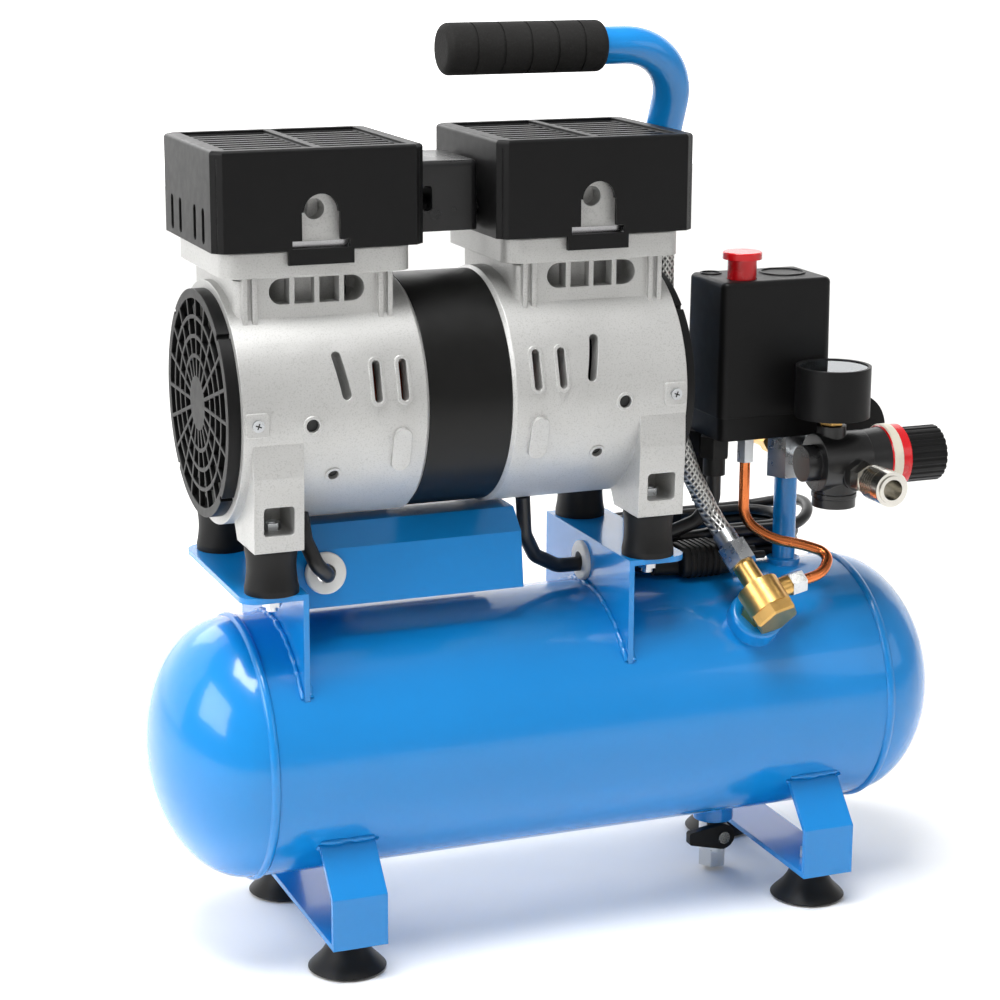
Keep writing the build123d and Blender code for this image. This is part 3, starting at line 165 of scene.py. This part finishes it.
def surface(name, look):
    # Base colour with slow and fine variation, edges lighter partly from wear and partly as painted
    # highlight, uneven roughness and two sizes of bump.
    made = Nodes(name)
    base = look["colour"]
    dark = tuple(c * (1 - look.get("variation", 0.12)) for c in base)
    light = tuple(min(1.0, c * (1 + look.get("variation", 0.12))) for c in base)
    colour = made.blend(made.spread(made.noise(look.get("patches", 14)), 0, 1), dark, light)
    soft, edge = made.edges(look.get("edge", 0.0007)) if "wearAndSheen" in look else (None, None)
    if "speckle" in look:
        share = made.spread(made.noise(look["speckleScale"], 2.0), 0, look["speckle"], 0.52, 0.68)
        colour = made.blend(share, colour, look["speckleColour"])
    # Lighter edges: partly wear and partly painted highlight where light catches the edges.
    if "wearAndSheen" in look:
        rubAndSheen = made.spread(made.noise(90), 0, look["wearAndSheen"], 0.4, 0.62)
        edge = made.add("ShaderNodeMath", {0: edge, 1: rubAndSheen}, operation="MULTIPLY").outputs["Value"]
        colour = made.blend(edge, colour, look["wearAndSheenColour"])
    made.link(colour, "Base Color")
    rough = look["roughness"]
    spread = look.get("roughSpread", 0.06)
    smears = made.noise(look.get("smears", 40), 4.0)
    made.link(made.spread(smears, rough - spread, rough + spread), "Roughness")
    made.shader.inputs["Metallic"].default_value = look.get("metallic", 0)
    made.shader.inputs["Coat Weight"].default_value = look.get("coat", 0)
    made.shader.inputs["Coat Roughness"].default_value = look.get("coatRoughness", 0.06)
    made.shader.inputs["Specular IOR Level"].default_value = look.get("specular", 0.5)
    waves = made.noise(look.get("waveScale", 60), 2.0)
    broad = made.bump(waves, look.get("waves", 0.1), 0.0006, soft)
    grain = made.noise(look["grainScale"], 3.0, look.get("stretch"))
    made.link(made.bump(grain, look["grain"], look.get("depth", 0.0002), broad), "Normal")
    return made


# In each finish the edge lightening is partly wear and partly painted highlight.
finishes = {
    "blue_enamel": {
        "colour": (0.004, 0.215, 0.585), "variation": 0.03, "patches": 9, "roughness": 0.22,
        "roughSpread": 0.012, "coat": 0.4, "coatRoughness": 0.05, "specular": 0.35,
        "grainScale": 420, "grain": 0.04, "waveScale": 70, "waves": 0.05, "wearAndSheen": 0.2,
        "wearAndSheenColour": (0.08, 0.38, 0.78),
    },
    "cast_aluminium": {
        "colour": (0.50, 0.50, 0.49), "variation": 0.04, "patches": 22, "metallic": 0.45,
        "roughness": 0.42, "roughSpread": 0.04, "speckle": 0.5, "speckleScale": 1300,
        "speckleColour": (0.33, 0.33, 0.32), "grainScale": 1300, "grain": 0.3, "depth": 0.00022,
        "wearAndSheen": 0.7, "wearAndSheenColour": (0.82, 0.82, 0.81),
    },
    "black_shell": {
        "colour": (0.004, 0.004, 0.0042), "variation": 0.06, "roughness": 0.42, "roughSpread": 0.02,
        "specular": 0.2, "smears": 160, "grainScale": 1500, "grain": 0.15, "wearAndSheen": 0.3,
        "wearAndSheenColour": (0.05, 0.05, 0.052), "waves": 0.04,
    },
    "black_rubber": {
        "colour": (0.004, 0.004, 0.004), "roughness": 0.5, "roughSpread": 0.03, "specular": 0.28,
        "grainScale": 900, "grain": 0.2, "wearAndSheen": 0.3, "wearAndSheenColour": (0.04, 0.04, 0.04),
    },
    "foam_grip": {
        "colour": (0.012, 0.0115, 0.011), "variation": 0.15, "roughness": 0.8, "specular": 0.2,
        "roughSpread": 0.04, "grainScale": 900, "grain": 0.55, "depth": 0.0004, "speckle": 0.4,
        "speckleScale": 1100, "speckleColour": (0.022, 0.022, 0.022),
    },
    "zinc_plate": {
        "colour": (0.60, 0.62, 0.64), "variation": 0.1, "patches": 60, "metallic": 1.0,
        "roughness": 0.3, "roughSpread": 0.06, "grainScale": 600, "grain": 0.1, "smears": 120,
    },
    "band_black": {
        "colour": (0.004, 0.004, 0.0038), "variation": 0.05, "specular": 0.25, "roughness": 0.36,
        "roughSpread": 0.02, "smears": 120, "grainScale": 700, "grain": 0.1, "waves": 0.05,
        "wearAndSheen": 0.4, "wearAndSheenColour": (0.06, 0.06, 0.06),
    },
    # Dark partly for the laminations' varnish and partly as painted shade, so that the core seen through the
    # casting's slots looks dark.
    "core_steel": {
        "colour": (0.05, 0.05, 0.052), "metallic": 0.7, "roughness": 0.5, "grainScale": 60,
        "grain": 0.5, "stretch": (30, 1, 1), "speckle": 0.4, "speckleScale": 300,
        "speckleColour": (0.02, 0.018, 0.016),
    },
    "copper_wire": {
        "colour": (0.26, 0.035, 0.01), "variation": 0.3, "patches": 90, "metallic": 0.6,
        "roughness": 0.35, "grainScale": 120, "grain": 0.9, "depth": 0.0006, "stretch": (12, 1, 1),
    },
    "bright_copper": {
        "colour": (0.76, 0.22, 0.07), "variation": 0.1, "patches": 40, "metallic": 1.0,
        "roughness": 0.26, "roughSpread": 0.05, "grainScale": 300, "grain": 0.08, "speckle": 0.4,
        "speckleScale": 60, "speckleColour": (0.48, 0.12, 0.04),
    },
    "bearing_steel": {
        "colour": (0.60, 0.60, 0.62), "metallic": 1.0, "roughness": 0.25, "grainScale": 400,
        "grain": 0.08,
    },
    "brass_body": {
        "colour": (0.66, 0.40, 0.13), "variation": 0.08, "patches": 50, "metallic": 1.0,
        "roughness": 0.34, "roughSpread": 0.05, "grainScale": 500, "grain": 0.15, "speckle": 0.3,
        "speckleScale": 220, "speckleColour": (0.45, 0.25, 0.07),
    },
    "nickel_plate": {
        "colour": (0.68, 0.66, 0.61), "metallic": 1.0, "roughness": 0.2, "roughSpread": 0.03,
        "grainScale": 500, "grain": 0.06,
    },
    "red_plastic": {
        "colour": (0.55, 0.003, 0.008), "variation": 0.05, "roughness": 0.26, "roughSpread": 0.03,
        "coat": 0.3, "grainScale": 600, "grain": 0.05,
    },
    "needle_black": {
        "colour": (0.012, 0.012, 0.012), "roughness": 0.5, "grainScale": 900, "grain": 0.1,
    },
    "white_rubber": {
        "colour": (0.66, 0.66, 0.64), "variation": 0.04, "roughness": 0.5, "grainScale": 800,
        "grain": 0.1,
    },
    "black_cable": {
        "colour": (0.007, 0.007, 0.0075), "roughness": 0.4, "roughSpread": 0.03, "grainScale": 500,
        "grain": 0.12,
    },
    "capacitor_white": {
        "colour": (0.68, 0.68, 0.66), "variation": 0.03, "roughness": 0.35, "grainScale": 500,
        "grain": 0.05,
    },
    "dark_cast": {
        "colour": (0.008, 0.008, 0.0085), "variation": 0.06, "roughness": 0.3, "roughSpread": 0.04,
        "grainScale": 700, "grain": 0.25, "wearAndSheen": 0.5, "wearAndSheenColour": (0.08, 0.08, 0.08),
    },
    "cream_plastic": {
        "colour": (0.62, 0.58, 0.48), "variation": 0.04, "roughness": 0.35, "grainScale": 700,
        "grain": 0.06,
    },
    "dial_paper": {
        "colour": (0.66, 0.74, 0.86), "variation": 0.02, "roughness": 0.5, "grainScale": 900,
        "grain": 0.02,
    },
    "dial_ink": {
        "colour": (0.01, 0.01, 0.012), "variation": 0.05, "roughness": 0.5, "grainScale": 900,
        "grain": 0.02,
    },
}
materials = {name: surface(name, look).material for name, look in finishes.items()}


def lensMaterial():
    # Clear, with a reflection that grows towards a slant, where it hides the dial.
    made = Nodes("clear_lens")
    clear = made.add("ShaderNodeBsdfTransparent", {"Color": (0.93, 0.97, 1.0, 1)})
    smear = made.spread(made.noise(60), 0.02, 0.07)
    gloss = made.add("ShaderNodeBsdfGlossy", {"Roughness": smear, "Color": (0.95, 0.98, 1.0, 1)})
    share = made.add("ShaderNodeLayerWeight", {"Blend": 0.42}).outputs["Fresnel"]
    mix = made.add("ShaderNodeMixShader", {0: share, 1: clear.outputs[0], 2: gloss.outputs[0]})
    made.tree.links.new(mix.outputs[0], made.tree.nodes["Material Output"].inputs["Surface"])
    return made.material


def braidMaterial():
    # Two crossing sets of fine wires in steel.
    made = Nodes("braided_steel")
    waves = []
    for turn in (38, -38):
        tilt = {"Vector": made.place, "Rotation": (0, math.radians(turn), 0)}
        place = made.add("ShaderNodeMapping", tilt).outputs["Vector"]
        settings = {"Vector": place, "Scale": 130, "Distortion": 0.6}
        wave = made.add("ShaderNodeTexWave", settings, bands_direction="X")
        waves.append(wave.outputs["Fac"])
    weave = made.add("ShaderNodeMath", {0: waves[0], 1: waves[1]}, operation="MAXIMUM").outputs["Value"]
    gaps, wire = (0.10, 0.10, 0.10), (0.62, 0.62, 0.60)
    made.link(made.blend(made.spread(weave, 0, 1, 0.2, 0.95), gaps, wire), "Base Color")
    made.shader.inputs["Metallic"].default_value = 0.9
    made.link(made.spread(made.noise(80), 0.28, 0.42), "Roughness")
    made.link(made.bump(weave, 0.8, 0.0006), "Normal")
    return made.material


materials["clear_lens"] = lensMaterial()
materials["braided_steel"] = braidMaterial()
slots = {row["node"]: row["material_slot"] for row in frame["record"]["subparts"]}
for name, thing in nodes.items():
    thing.data.materials.clear()
    thing.data.materials.append(materials[slots[name]])
print("materials:", len(materials))

# Studio paper
floorPaper = {"reach": 12, "finish": {
    "colour": (0.97, 0.965, 0.955), "variation": 0.01, "roughness": 0.6,
    "grainScale": 300, "grain": 0.02, "waves": 0,
}}
backdropPaper = {"left": -6, "right": 9, "behind": 3.2, "top": 5, "glow": 1.05, "finish": {
    "colour": (0.9, 0.9, 0.9), "variation": 0.01, "roughness": 0.7,
    "grainScale": 200, "grain": 0.02, "waves": 0,
}}


def addSheet(name, corners, material):
    # One flat sheet that belongs to the studio.
    mesh = bpy.data.meshes.new(name)
    mesh.from_pydata(corners, [], [(0, 1, 2, 3)])
    sheet = bpy.data.objects.new(name, mesh)
    bpy.context.scene.collection.objects.link(sheet)
    mesh.materials.append(material)


def addFloor(look):
    reach = look["reach"]
    corners = [(-reach, -reach, 0), (reach, -reach, 0), (reach, reach, 0), (-reach, reach, 0)]
    addSheet("floor", corners, surface("floorPaper", look["finish"]).material)


def addBackdrop(look):
    # A lit white sheet far behind.
    paper = surface("backdropPaper", look["finish"])
    paper.shader.inputs["Emission Color"].default_value = (1.0, 1.0, 1.0, 1)
    paper.shader.inputs["Emission Strength"].default_value = look["glow"]
    left, right, behind, top = look["left"], look["right"], look["behind"], look["top"]
    corners = [(left, behind, 0), (right, behind, 0), (right, behind, top), (left, behind, top)]
    addSheet("backdrop", corners, paper.material)


addFloor(floorPaper)
addBackdrop(backdropPaper)
print("floor and backdrop laid")


def place(name, mesh, slot, body="frame", smooth=True):
    # Puts a mesh in the scene as a piece that rides on a body.
    piece = bpy.data.objects.new(name, mesh)
    bpy.context.scene.collection.objects.link(piece)
    mesh.materials.clear()
    mesh.materials.append(materials[slot])
    if smooth:
        for face in mesh.polygons:
            face.use_smooth = True
    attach(piece, body)
    return piece


def turned(name, profile, spot, axis, slot, body="frame", segments=72):
    # A closed outline of (radius, height) turned about an axis.
    mesh = bpy.data.meshes.new(name)
    shape = bmesh.new()
    rows = []
    for radius, height in profile:
        rows.append([shape.verts.new((radius * math.cos(2 * math.pi * i / segments) / 1000,
                                      radius * math.sin(2 * math.pi * i / segments) / 1000, height / 1000))
                     for i in range(segments)])
    for first, second in zip(rows, rows[1:] + rows[:1]):
        for i in range(segments):
            k = (i + 1) % segments
            shape.faces.new((first[i], first[k], second[k], second[i]))
    bmesh.ops.recalc_face_normals(shape, faces=shape.faces)
    turn = Vector(axis).to_track_quat("Z", "Y").to_matrix().to_4x4()
    shape.transform(Matrix.Translation(mm(*spot)) @ turn)
    shape.to_mesh(mesh)
    shape.free()
    piece = place(name, mesh, slot, body)
    mesh.set_sharp_from_angle(angle=math.radians(32))
    return piece


def ringBox(inner, outer, low, high, edge=0.4):
    # The outline of a flat ring with broken edges.
    bottom = [(inner, low + edge), (inner + edge, low), (outer - edge, low), (outer, low + edge)]
    top = [(outer, high - edge), (outer - edge, high), (inner + edge, high), (inner, high - edge)]
    return bottom + top


# Weld beads where brackets, legs and tubes meet the tank
tank = {"radius": 70, "height": 110.4}
welds = {
    "radius": 1.5, "step": 2.6, "jitter": 0.35,
    "plates": {"left": -157.3, "right": 23.8}, "plateHalf": 2.3, "plateReach": 54,
    "legs": {"left": -137, "right": 137}, "legHalf": 14.5, "legDepth": 59.2, "legEnd": (57, 58.5),
    "riser": (144.8, 7.2, 180.5), "post": (74, 42, 10.9),
}


def weldBead(name, path, look=welds):
    # A run of overlapping ripples with uneven width.
    spots = [Vector(path[0])]
    for start, end in zip(path, path[1:]):
        start, end = Vector(start), Vector(end)
        count = max(1, round((end - start).length / look["step"]))
        spots += [start.lerp(end, (i + 1) / count) for i in range(count)]
    curve = bpy.data.curves.new(name, "CURVE")
    curve.dimensions = "3D"
    curve.bevel_depth = look["radius"] / 1000
    curve.bevel_resolution = 3
    curve.resolution_u = 3
    curve.use_fill_caps = True
    spline = curve.splines.new("NURBS")
    spline.points.add(len(spots) - 1)
    for point, spot in zip(spline.points, spots):
        shift = Vector([random.uniform(-1, 1) * look["jitter"] for axis in range(3)])
        point.co = (*mm(*(spot + shift)), 1)
        point.radius = random.uniform(0.6, 1.35)
    spline.order_u = 3
    spline.use_endpoint_u = True
    bead = bpy.data.objects.new(name, curve)
    bpy.context.scene.collection.objects.link(bead)
    curve.materials.append(materials["blue_enamel"])
    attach(bead, "frame")
    return bead


def onTank(x, angle, lift=0.4):
    # A point on the tank, where angle is from the top towards the back.
    reach = tank["radius"] + lift
    return (x, reach * math.sin(math.radians(angle)), tank["height"] + reach * math.cos(math.radians(angle)))


def underTank(y):
    return tank["height"] - math.sqrt(tank["radius"] ** 2 - y ** 2)


def overTank(y):
    return tank["height"] + math.sqrt(tank["radius"] ** 2 - y ** 2)


def addWelds(look):
    for side, plate in look["plates"].items():
        for face in (-1, 1):
            reach = look["plateReach"]
            arc = [onTank(plate + face * look["plateHalf"], angle) for angle in range(-reach, reach + 1, 6)]
            outer = face == (1 if side == "right" else -1)
            weldBead(side + "BracketWeld" + ("Outer" if outer else "Inner"), arc)
    half, depth = look["legHalf"], look["legDepth"]
    for side, x in look["legs"].items():
        for face, start in (("Front", -1), ("Back", 1)):
            y = start * depth
            z = underTank(depth)
            weldBead(side + "LegWeld" + face, [(x - half, y, z), (x + half, y, z)])
            for end in (-1, 1):
                steps = [(x + end * (half + 0.8), start * v, underTank(v) - 0.4) for v in look["legEnd"]]
                weldBead(side + "LegWeld" + face + ("Outer" if end * x > 0 else "Inner"), steps)
    x, radius, z = look["riser"]
    ring = [(radius * math.cos(a / 8 * math.pi), radius * math.sin(a / 8 * math.pi)) for a in range(17)]
    weldBead("riserWeld", [(x + across, y, z - 0.006 * y ** 2) for across, y in ring])
    x, y, radius = look["post"]
    ring = [(radius * math.cos(a / 10 * math.pi), radius * math.sin(a / 10 * math.pi)) for a in range(21)]
    weldBead("postWeld", [(x + across, y + back, overTank(y + back)) for across, back in ring])


addWelds(welds)
print("weld beads made")

# Gauge dials with plain numbers
dials = [
    {"name": "outletDial", "centre": (148, -45, 295.5), "right": (1, 0, 0), "up": (0, 1, 0),
     "radius": 18.6, "most": 10},
    {"name": "tankDial", "centre": (186, 15, 255), "right": (-1, 0, 0), "up": (0, 0, 1),
     "radius": 18.6, "most": 16},
]


def addDial(look):
    right, up = Vector(look["right"]), Vector(look["up"])
    out = right.cross(up)
    frameTurn = Matrix((right, up, out)).transposed().to_4x4()
    base = Matrix.Translation(mm(*look["centre"])) @ frameTurn
    mesh = bpy.data.meshes.new(look["name"])
    shape = bmesh.new()
    bmesh.ops.create_circle(shape, cap_ends=True, segments=64, radius=look["radius"] / 1000)
    shape.transform(Matrix.Translation((0, 0, 0.00015)))
    shape.transform(base)
    shape.to_mesh(mesh)
    shape.free()
    place(look["name"], mesh, "dial_paper", smooth=False)
    ink = bmesh.new()

    def bar(angle, inner, outer, width):
        turn = Matrix.Rotation(math.radians(angle), 4, "Z")
        corners = [(inner, -width), (outer, -width), (outer, width), (inner, width)]
        ink.faces.new([ink.verts.new(turn @ (Vector((x, y, 0.3)) / 1000)) for x, y in corners])

    for k in range(51):
        bar(225 - 270 * k / 50, 14.2 if k % 5 == 0 else 15.6, 17.2, 0.28 if k % 5 == 0 else 0.12)
    for k in range(90):
        bar(225 - 270 * (k + 0.5) / 90, 17.2, 17.5, 0.3)
    marks = bpy.data.meshes.new(look["name"] + "Marks")
    ink.transform(base)
    ink.to_mesh(marks)
    ink.free()
    place(look["name"] + "Marks", marks, "dial_ink", smooth=False)
    for k in range(6):
        number = round(look["most"] * k / 5)
        angle = math.radians(225 - 270 * k / 5)
        words = bpy.data.curves.new(look["name"] + "Number" + str(k), "FONT")
        words.body = str(number)
        words.size = 0.0042
        words.align_x = "CENTER"
        words.align_y = "CENTER"
        text = bpy.data.objects.new(words.name, words)
        bpy.context.scene.collection.objects.link(text)
        spot = Vector((math.cos(angle) * 11, math.sin(angle) * 11, 0.35)) / 1000
        text.matrix_world = base @ Matrix.Translation(spot)
        words.materials.append(materials["dial_ink"])
        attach(text, "frame")


for look in dials:
    addDial(look)
print("dials made")

# Small parts on the regulator and gauges
turned("creamRing", ringBox(16.5, 18.3, 0, 5.6, 0.5), (178.6, -45, 249), (1, 0, 0), "cream_plastic")
turned("gaugeStem", ringBox(5.4, 6.7, 0, 4.8, 0.5), (148, -45, 269.6), (0, 0, 1), "brass_body", segments=6)
turned("bowlRib", ringBox(11.8, 12.5, 0, 3, 0.4), (151, -45, 229), (0, 0, 1), "dark_cast")


# Painted shade: black discs set inside the blind holes in the castings, standing for the shade deep in them
casting = {"middle": -69.25, "height": 297.9, "depth": 60.6, "holes": ((85, -2, 3.3), (72.4, -28, 2.7))}
for side in (-1, 1):
    for front in (-1, 1):
        for reach, angle, hole in casting["holes"]:
            tilt = math.radians(angle)
            facing = Vector((0, front * math.cos(tilt), math.sin(tilt)))
            axis = Vector((casting["middle"] + side * reach, 0, casting["height"]))
            spot = axis + facing * casting["depth"]
            label = ("left" if side < 0 else "right") + ("Front" if front < 0 else "Back")
            label += "HoleShadeDisc" + str(round(reach))
            # Each disc is painted shade, not a part.
            turned(label, ringBox(0.05, hole, 0, 0.5, 0.02), spot, facing, "needle_black", segments=28)


screws = {"across": 113.5, "out": 65.5, "turn": 20, "bars": ((3.2, 0.7), (0.7, 3.2))}


def crossSlot(name, spot, facing, look):
    # The cross in a screw's head, drawn as a flat black cross of painted shade for its recess.
    shape = bmesh.new()
    for size in look["bars"]:
        w, h = size[0] / 2000, size[1] / 2000
        y = facing * 0.00006
        shape.faces.new([shape.verts.new((x, y, z)) for x, z in ((-w, -h), (w, -h), (w, h), (-w, h))])
    shape.transform(Matrix.Translation(mm(*spot)) @ Matrix.Rotation(math.radians(look["turn"]), 4, "Y"))
    mesh = bpy.data.meshes.new(name)
    shape.to_mesh(mesh)
    shape.free()
    place(name, mesh, "needle_black", smooth=False)


# Black crosses of painted shade on the case screws.
for side in (-1, 1):
    for facing in (-1, 1):
        label = ("left" if side < 0 else "right") + "ScrewCrossShade" + ("Front" if facing < 0 else "Back")
        spot = (casting["middle"] + side * screws["across"], facing * screws["out"], casting["height"])
        crossSlot(label, spot, facing, screws)
print("screw crosses and holes made")

# Mains cord: the gland, down to the hank, round it and out to the plug
mainsCord = {
    "diameter": 0.0065, "length": 1.8,
    "gland": (97, 13.5, 240), "plug": (-6, 186), "bend": 26,
    "centres": (74, 142), "middle": 40, "inner": 20, "floor": 183.95, "pitch": 6.5,
    "looseReach": 9, "looseLift": 7,
    "frontRun": (3, 10, 18, 26, 34, 42),  # from the near end, where turns change rows
    "rowStart": 2, "rowStep": 5, "rowRun": 19,
}


def halfTurn(steps=12):
    # Middles of equal steps round half a circle, and how far out a point stands for its arc to pass at 1.
    return [math.pi * (k + 0.5) / steps for k in range(steps)], 1 / math.cos(math.pi / steps / 2)


def hankPoints(look):
    # Each turn moves to the next cell of the stack, one after another along the front run.
    near, far = look["centres"]
    pitch = look["pitch"]
    inner = look["inner"]
    outer = inner + pitch
    low = look["floor"]
    cells = [(outer, low + 3 * pitch), (outer, low + 2 * pitch), (inner, low + 2 * pitch),
             (inner, low + pitch), (inner, low), (outer, low), (outer, low + pitch)]

    def cell(turn, run):
        # The stack's position on this turn, where run is the distance along the front.
        start = near + look["rowStart"] + look["rowStep"] * (5 - turn)
        share = min(1.0, max(0.0, (run - start) / look["rowRun"]))
        share = share * share * (3 - 2 * share)
        first, second = cells[turn], cells[min(turn + 1, 6)]
        return [a + (b - a) * share for a, b in zip(first, second)]

    points = []
    front = [near + run for run in look["frontRun"]] + [far - 14, far - 3]
    angles, out = halfTurn()
    for turn in range(6):
        reach, lift = (0, 0) if turn else (look["looseReach"], look["looseLift"])
        runs = front if turn else [far + reach - 3]
        for x in runs:
            radius, height = cell(turn, x)
            points.append((x, look["middle"] - radius, height))
        for angle in angles:
            radius, height = cell(turn, far)
            points.append((far + reach + radius * out * math.sin(angle),
                           look["middle"] - radius * out * math.cos(angle),
                           height + lift * math.sin(angle) ** 2))
        radius, height = cells[turn + 1]
        for x in (far + reach - 3, far - 20, near + 20, near + 3):
            points.append((x, look["middle"] + radius, height))
        for angle in (angles if turn < 5 else angles[:6]):
            points.append((near - radius * out * math.sin(angle),
                           look["middle"] + radius * out * math.cos(angle), height))
    return points


def entryPoints(look):
    # Straight down out of the gland, then a quarter turn into the top of the hank.
    x, y, z = look["gland"]
    low = look["floor"] + 2 * look["pitch"]
    bend = look["bend"]
    side = look["middle"] - look["inner"] - look["pitch"]
    angles, out = halfTurn(8)
    points = [(x, y, z), (x, y, z - 6), (x, y, low + bend * 1.2)]
    for a in angles[:4]:
        points.append((x + bend - bend * out * math.cos(a), (y + side) / 2,
                       low + bend - bend * out * math.sin(a)))
    return points + [(x + bend * 1.2, side, low)]


def tailPoints(look):
    # Off the end of the hank and a quarter turn forwards into the plug.
    y, z = look["plug"]
    side = look["centres"][0] - look["inner"] - look["pitch"]
    bend = look["bend"]
    high = look["floor"] + look["pitch"]
    angles, out = halfTurn(8)
    points = [(side, look["middle"] - 3, high), (side, y + bend * 1.2, z + (high - z) * 0.4)]
    for a in angles[:4]:
        points.append((side + bend - bend * out * math.cos(a), y + bend - bend * out * math.sin(a), z))
    return points + [(side + bend * 1.2, y, z), (side + bend * 1.3, y, z)]


def addCord(look):
    points = entryPoints(look) + hankPoints(look) + tailPoints(look)
    curve = bpy.data.curves.new("mainsCord", "CURVE")
    curve.dimensions = "3D"
    curve.bevel_depth = look["diameter"] / 2
    curve.bevel_resolution = 5
    curve.resolution_u = 6
    curve.use_fill_caps = True
    spline = curve.splines.new("NURBS")
    spline.points.add(len(points) - 1)
    for point, spot in zip(spline.points, points):
        point.co = (*mm(*spot), 1)
    spline.order_u = 3
    spline.use_endpoint_u = True
    cord = bpy.data.objects.new("mainsCord", curve)
    bpy.context.scene.collection.objects.link(cord)
    curve.materials.append(materials["black_cable"])
    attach(cord, "frame")
    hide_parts("mains_cord", "mains_hank")
    return cord, points


cord, cordPoints = addCord(mainsCord)
length = sum((mm(*b) - mm(*a)).length for a, b in zip(cordPoints, cordPoints[1:]))
print("cord points", len(cordPoints), "runs", round(length, 3))

# What is on the cord: strain relief, ties and the plug's grip ribs
relief = {"spot": (97, 13.5, 238), "length": 21, "start": 5.3, "end": 3.9, "bore": 3.0, "ribs": 5, "gap": 4.2}


def reliefOutline(look):
    # A tapering sleeve with raised ribs.
    length, end, start, bore = look["length"], look["end"], look["start"], look["bore"]
    outline = [(bore, -length), (end, -length + 0.5)]
    for k in range(look["ribs"]):
        low = -length + 1.5 + look["gap"] * k
        radius = end + (start - end) * (k + 0.5) / look["ribs"]
        outline += [(radius - 0.5, low), (radius + 0.3, low + 0.5)]
        outline += [(radius + 0.3, low + 2.6), (radius - 0.5, low + 3.1)]
    return outline + [(start, 0), (bore, 0)]


turned("strainRelief", reliefOutline(relief), relief["spot"], (0, 0, 1), "black_rubber")


def bandLoop(name, centre, size, width, corner, thickness, slot):
    # A thin band along X round a rounded rectangle in Y and Z.
    mesh = bpy.data.meshes.new(name)
    shape = bmesh.new()
    rows = []
    for x in (-width / 2, width / 2):
        for grow in ((0, thickness) if x < 0 else (thickness, 0)):
            half = [size[0] / 2 + grow, size[1] / 2 + grow]
            row = []
            for quarter, (sy, sz) in enumerate(((1, 1), (-1, 1), (-1, -1), (1, -1))):
                for k in range(7):
                    angle = math.radians(90 * quarter + 15 * k)
                    y = sy * (half[0] - corner) + corner * math.cos(angle)
                    z = sz * (half[1] - corner) + corner * math.sin(angle)
                    row.append(shape.verts.new(mm(centre[0] + x, centre[1] + y, centre[2] + z)))
            rows.append(row)
    for first, second in zip(rows, rows[1:] + rows[:1]):
        for i in range(len(first)):
            k = (i + 1) % len(first)
            shape.faces.new((first[i], first[k], second[k], second[i]))
    bmesh.ops.recalc_face_normals(shape, faces=shape.faces)
    shape.to_mesh(mesh)
    shape.free()
    piece = place(name, mesh, slot)
    mesh.set_sharp_from_angle(angle=math.radians(40))
    return piece


ties = {
    "size": (14, 20.4), "width": 5, "corner": 2.4, "thickness": 0.9,
    "spots": {"hankTieBack": (104, 62.8, 190.45), "hankTieFront": (82, 17.2, 190.45)},
}
plugRibs = {"count": 6, "first": 79, "gap": 3.4, "y": -6, "z": 189.8,
            "size": (24, 17), "width": 1.5, "corner": 6, "thickness": 0.6}
for name, spot in ties["spots"].items():
    bandLoop(name, spot, ties["size"], ties["width"], ties["corner"], ties["thickness"], "black_rubber")
for k in range(plugRibs["count"]):
    spot = (plugRibs["first"] + plugRibs["gap"] * k, plugRibs["y"], plugRibs["z"])
    bandLoop("plugRib" + str(k), spot, plugRibs["size"], plugRibs["width"], plugRibs["corner"],
             plugRibs["thickness"], "black_rubber")
print("cord, ties and plug made")
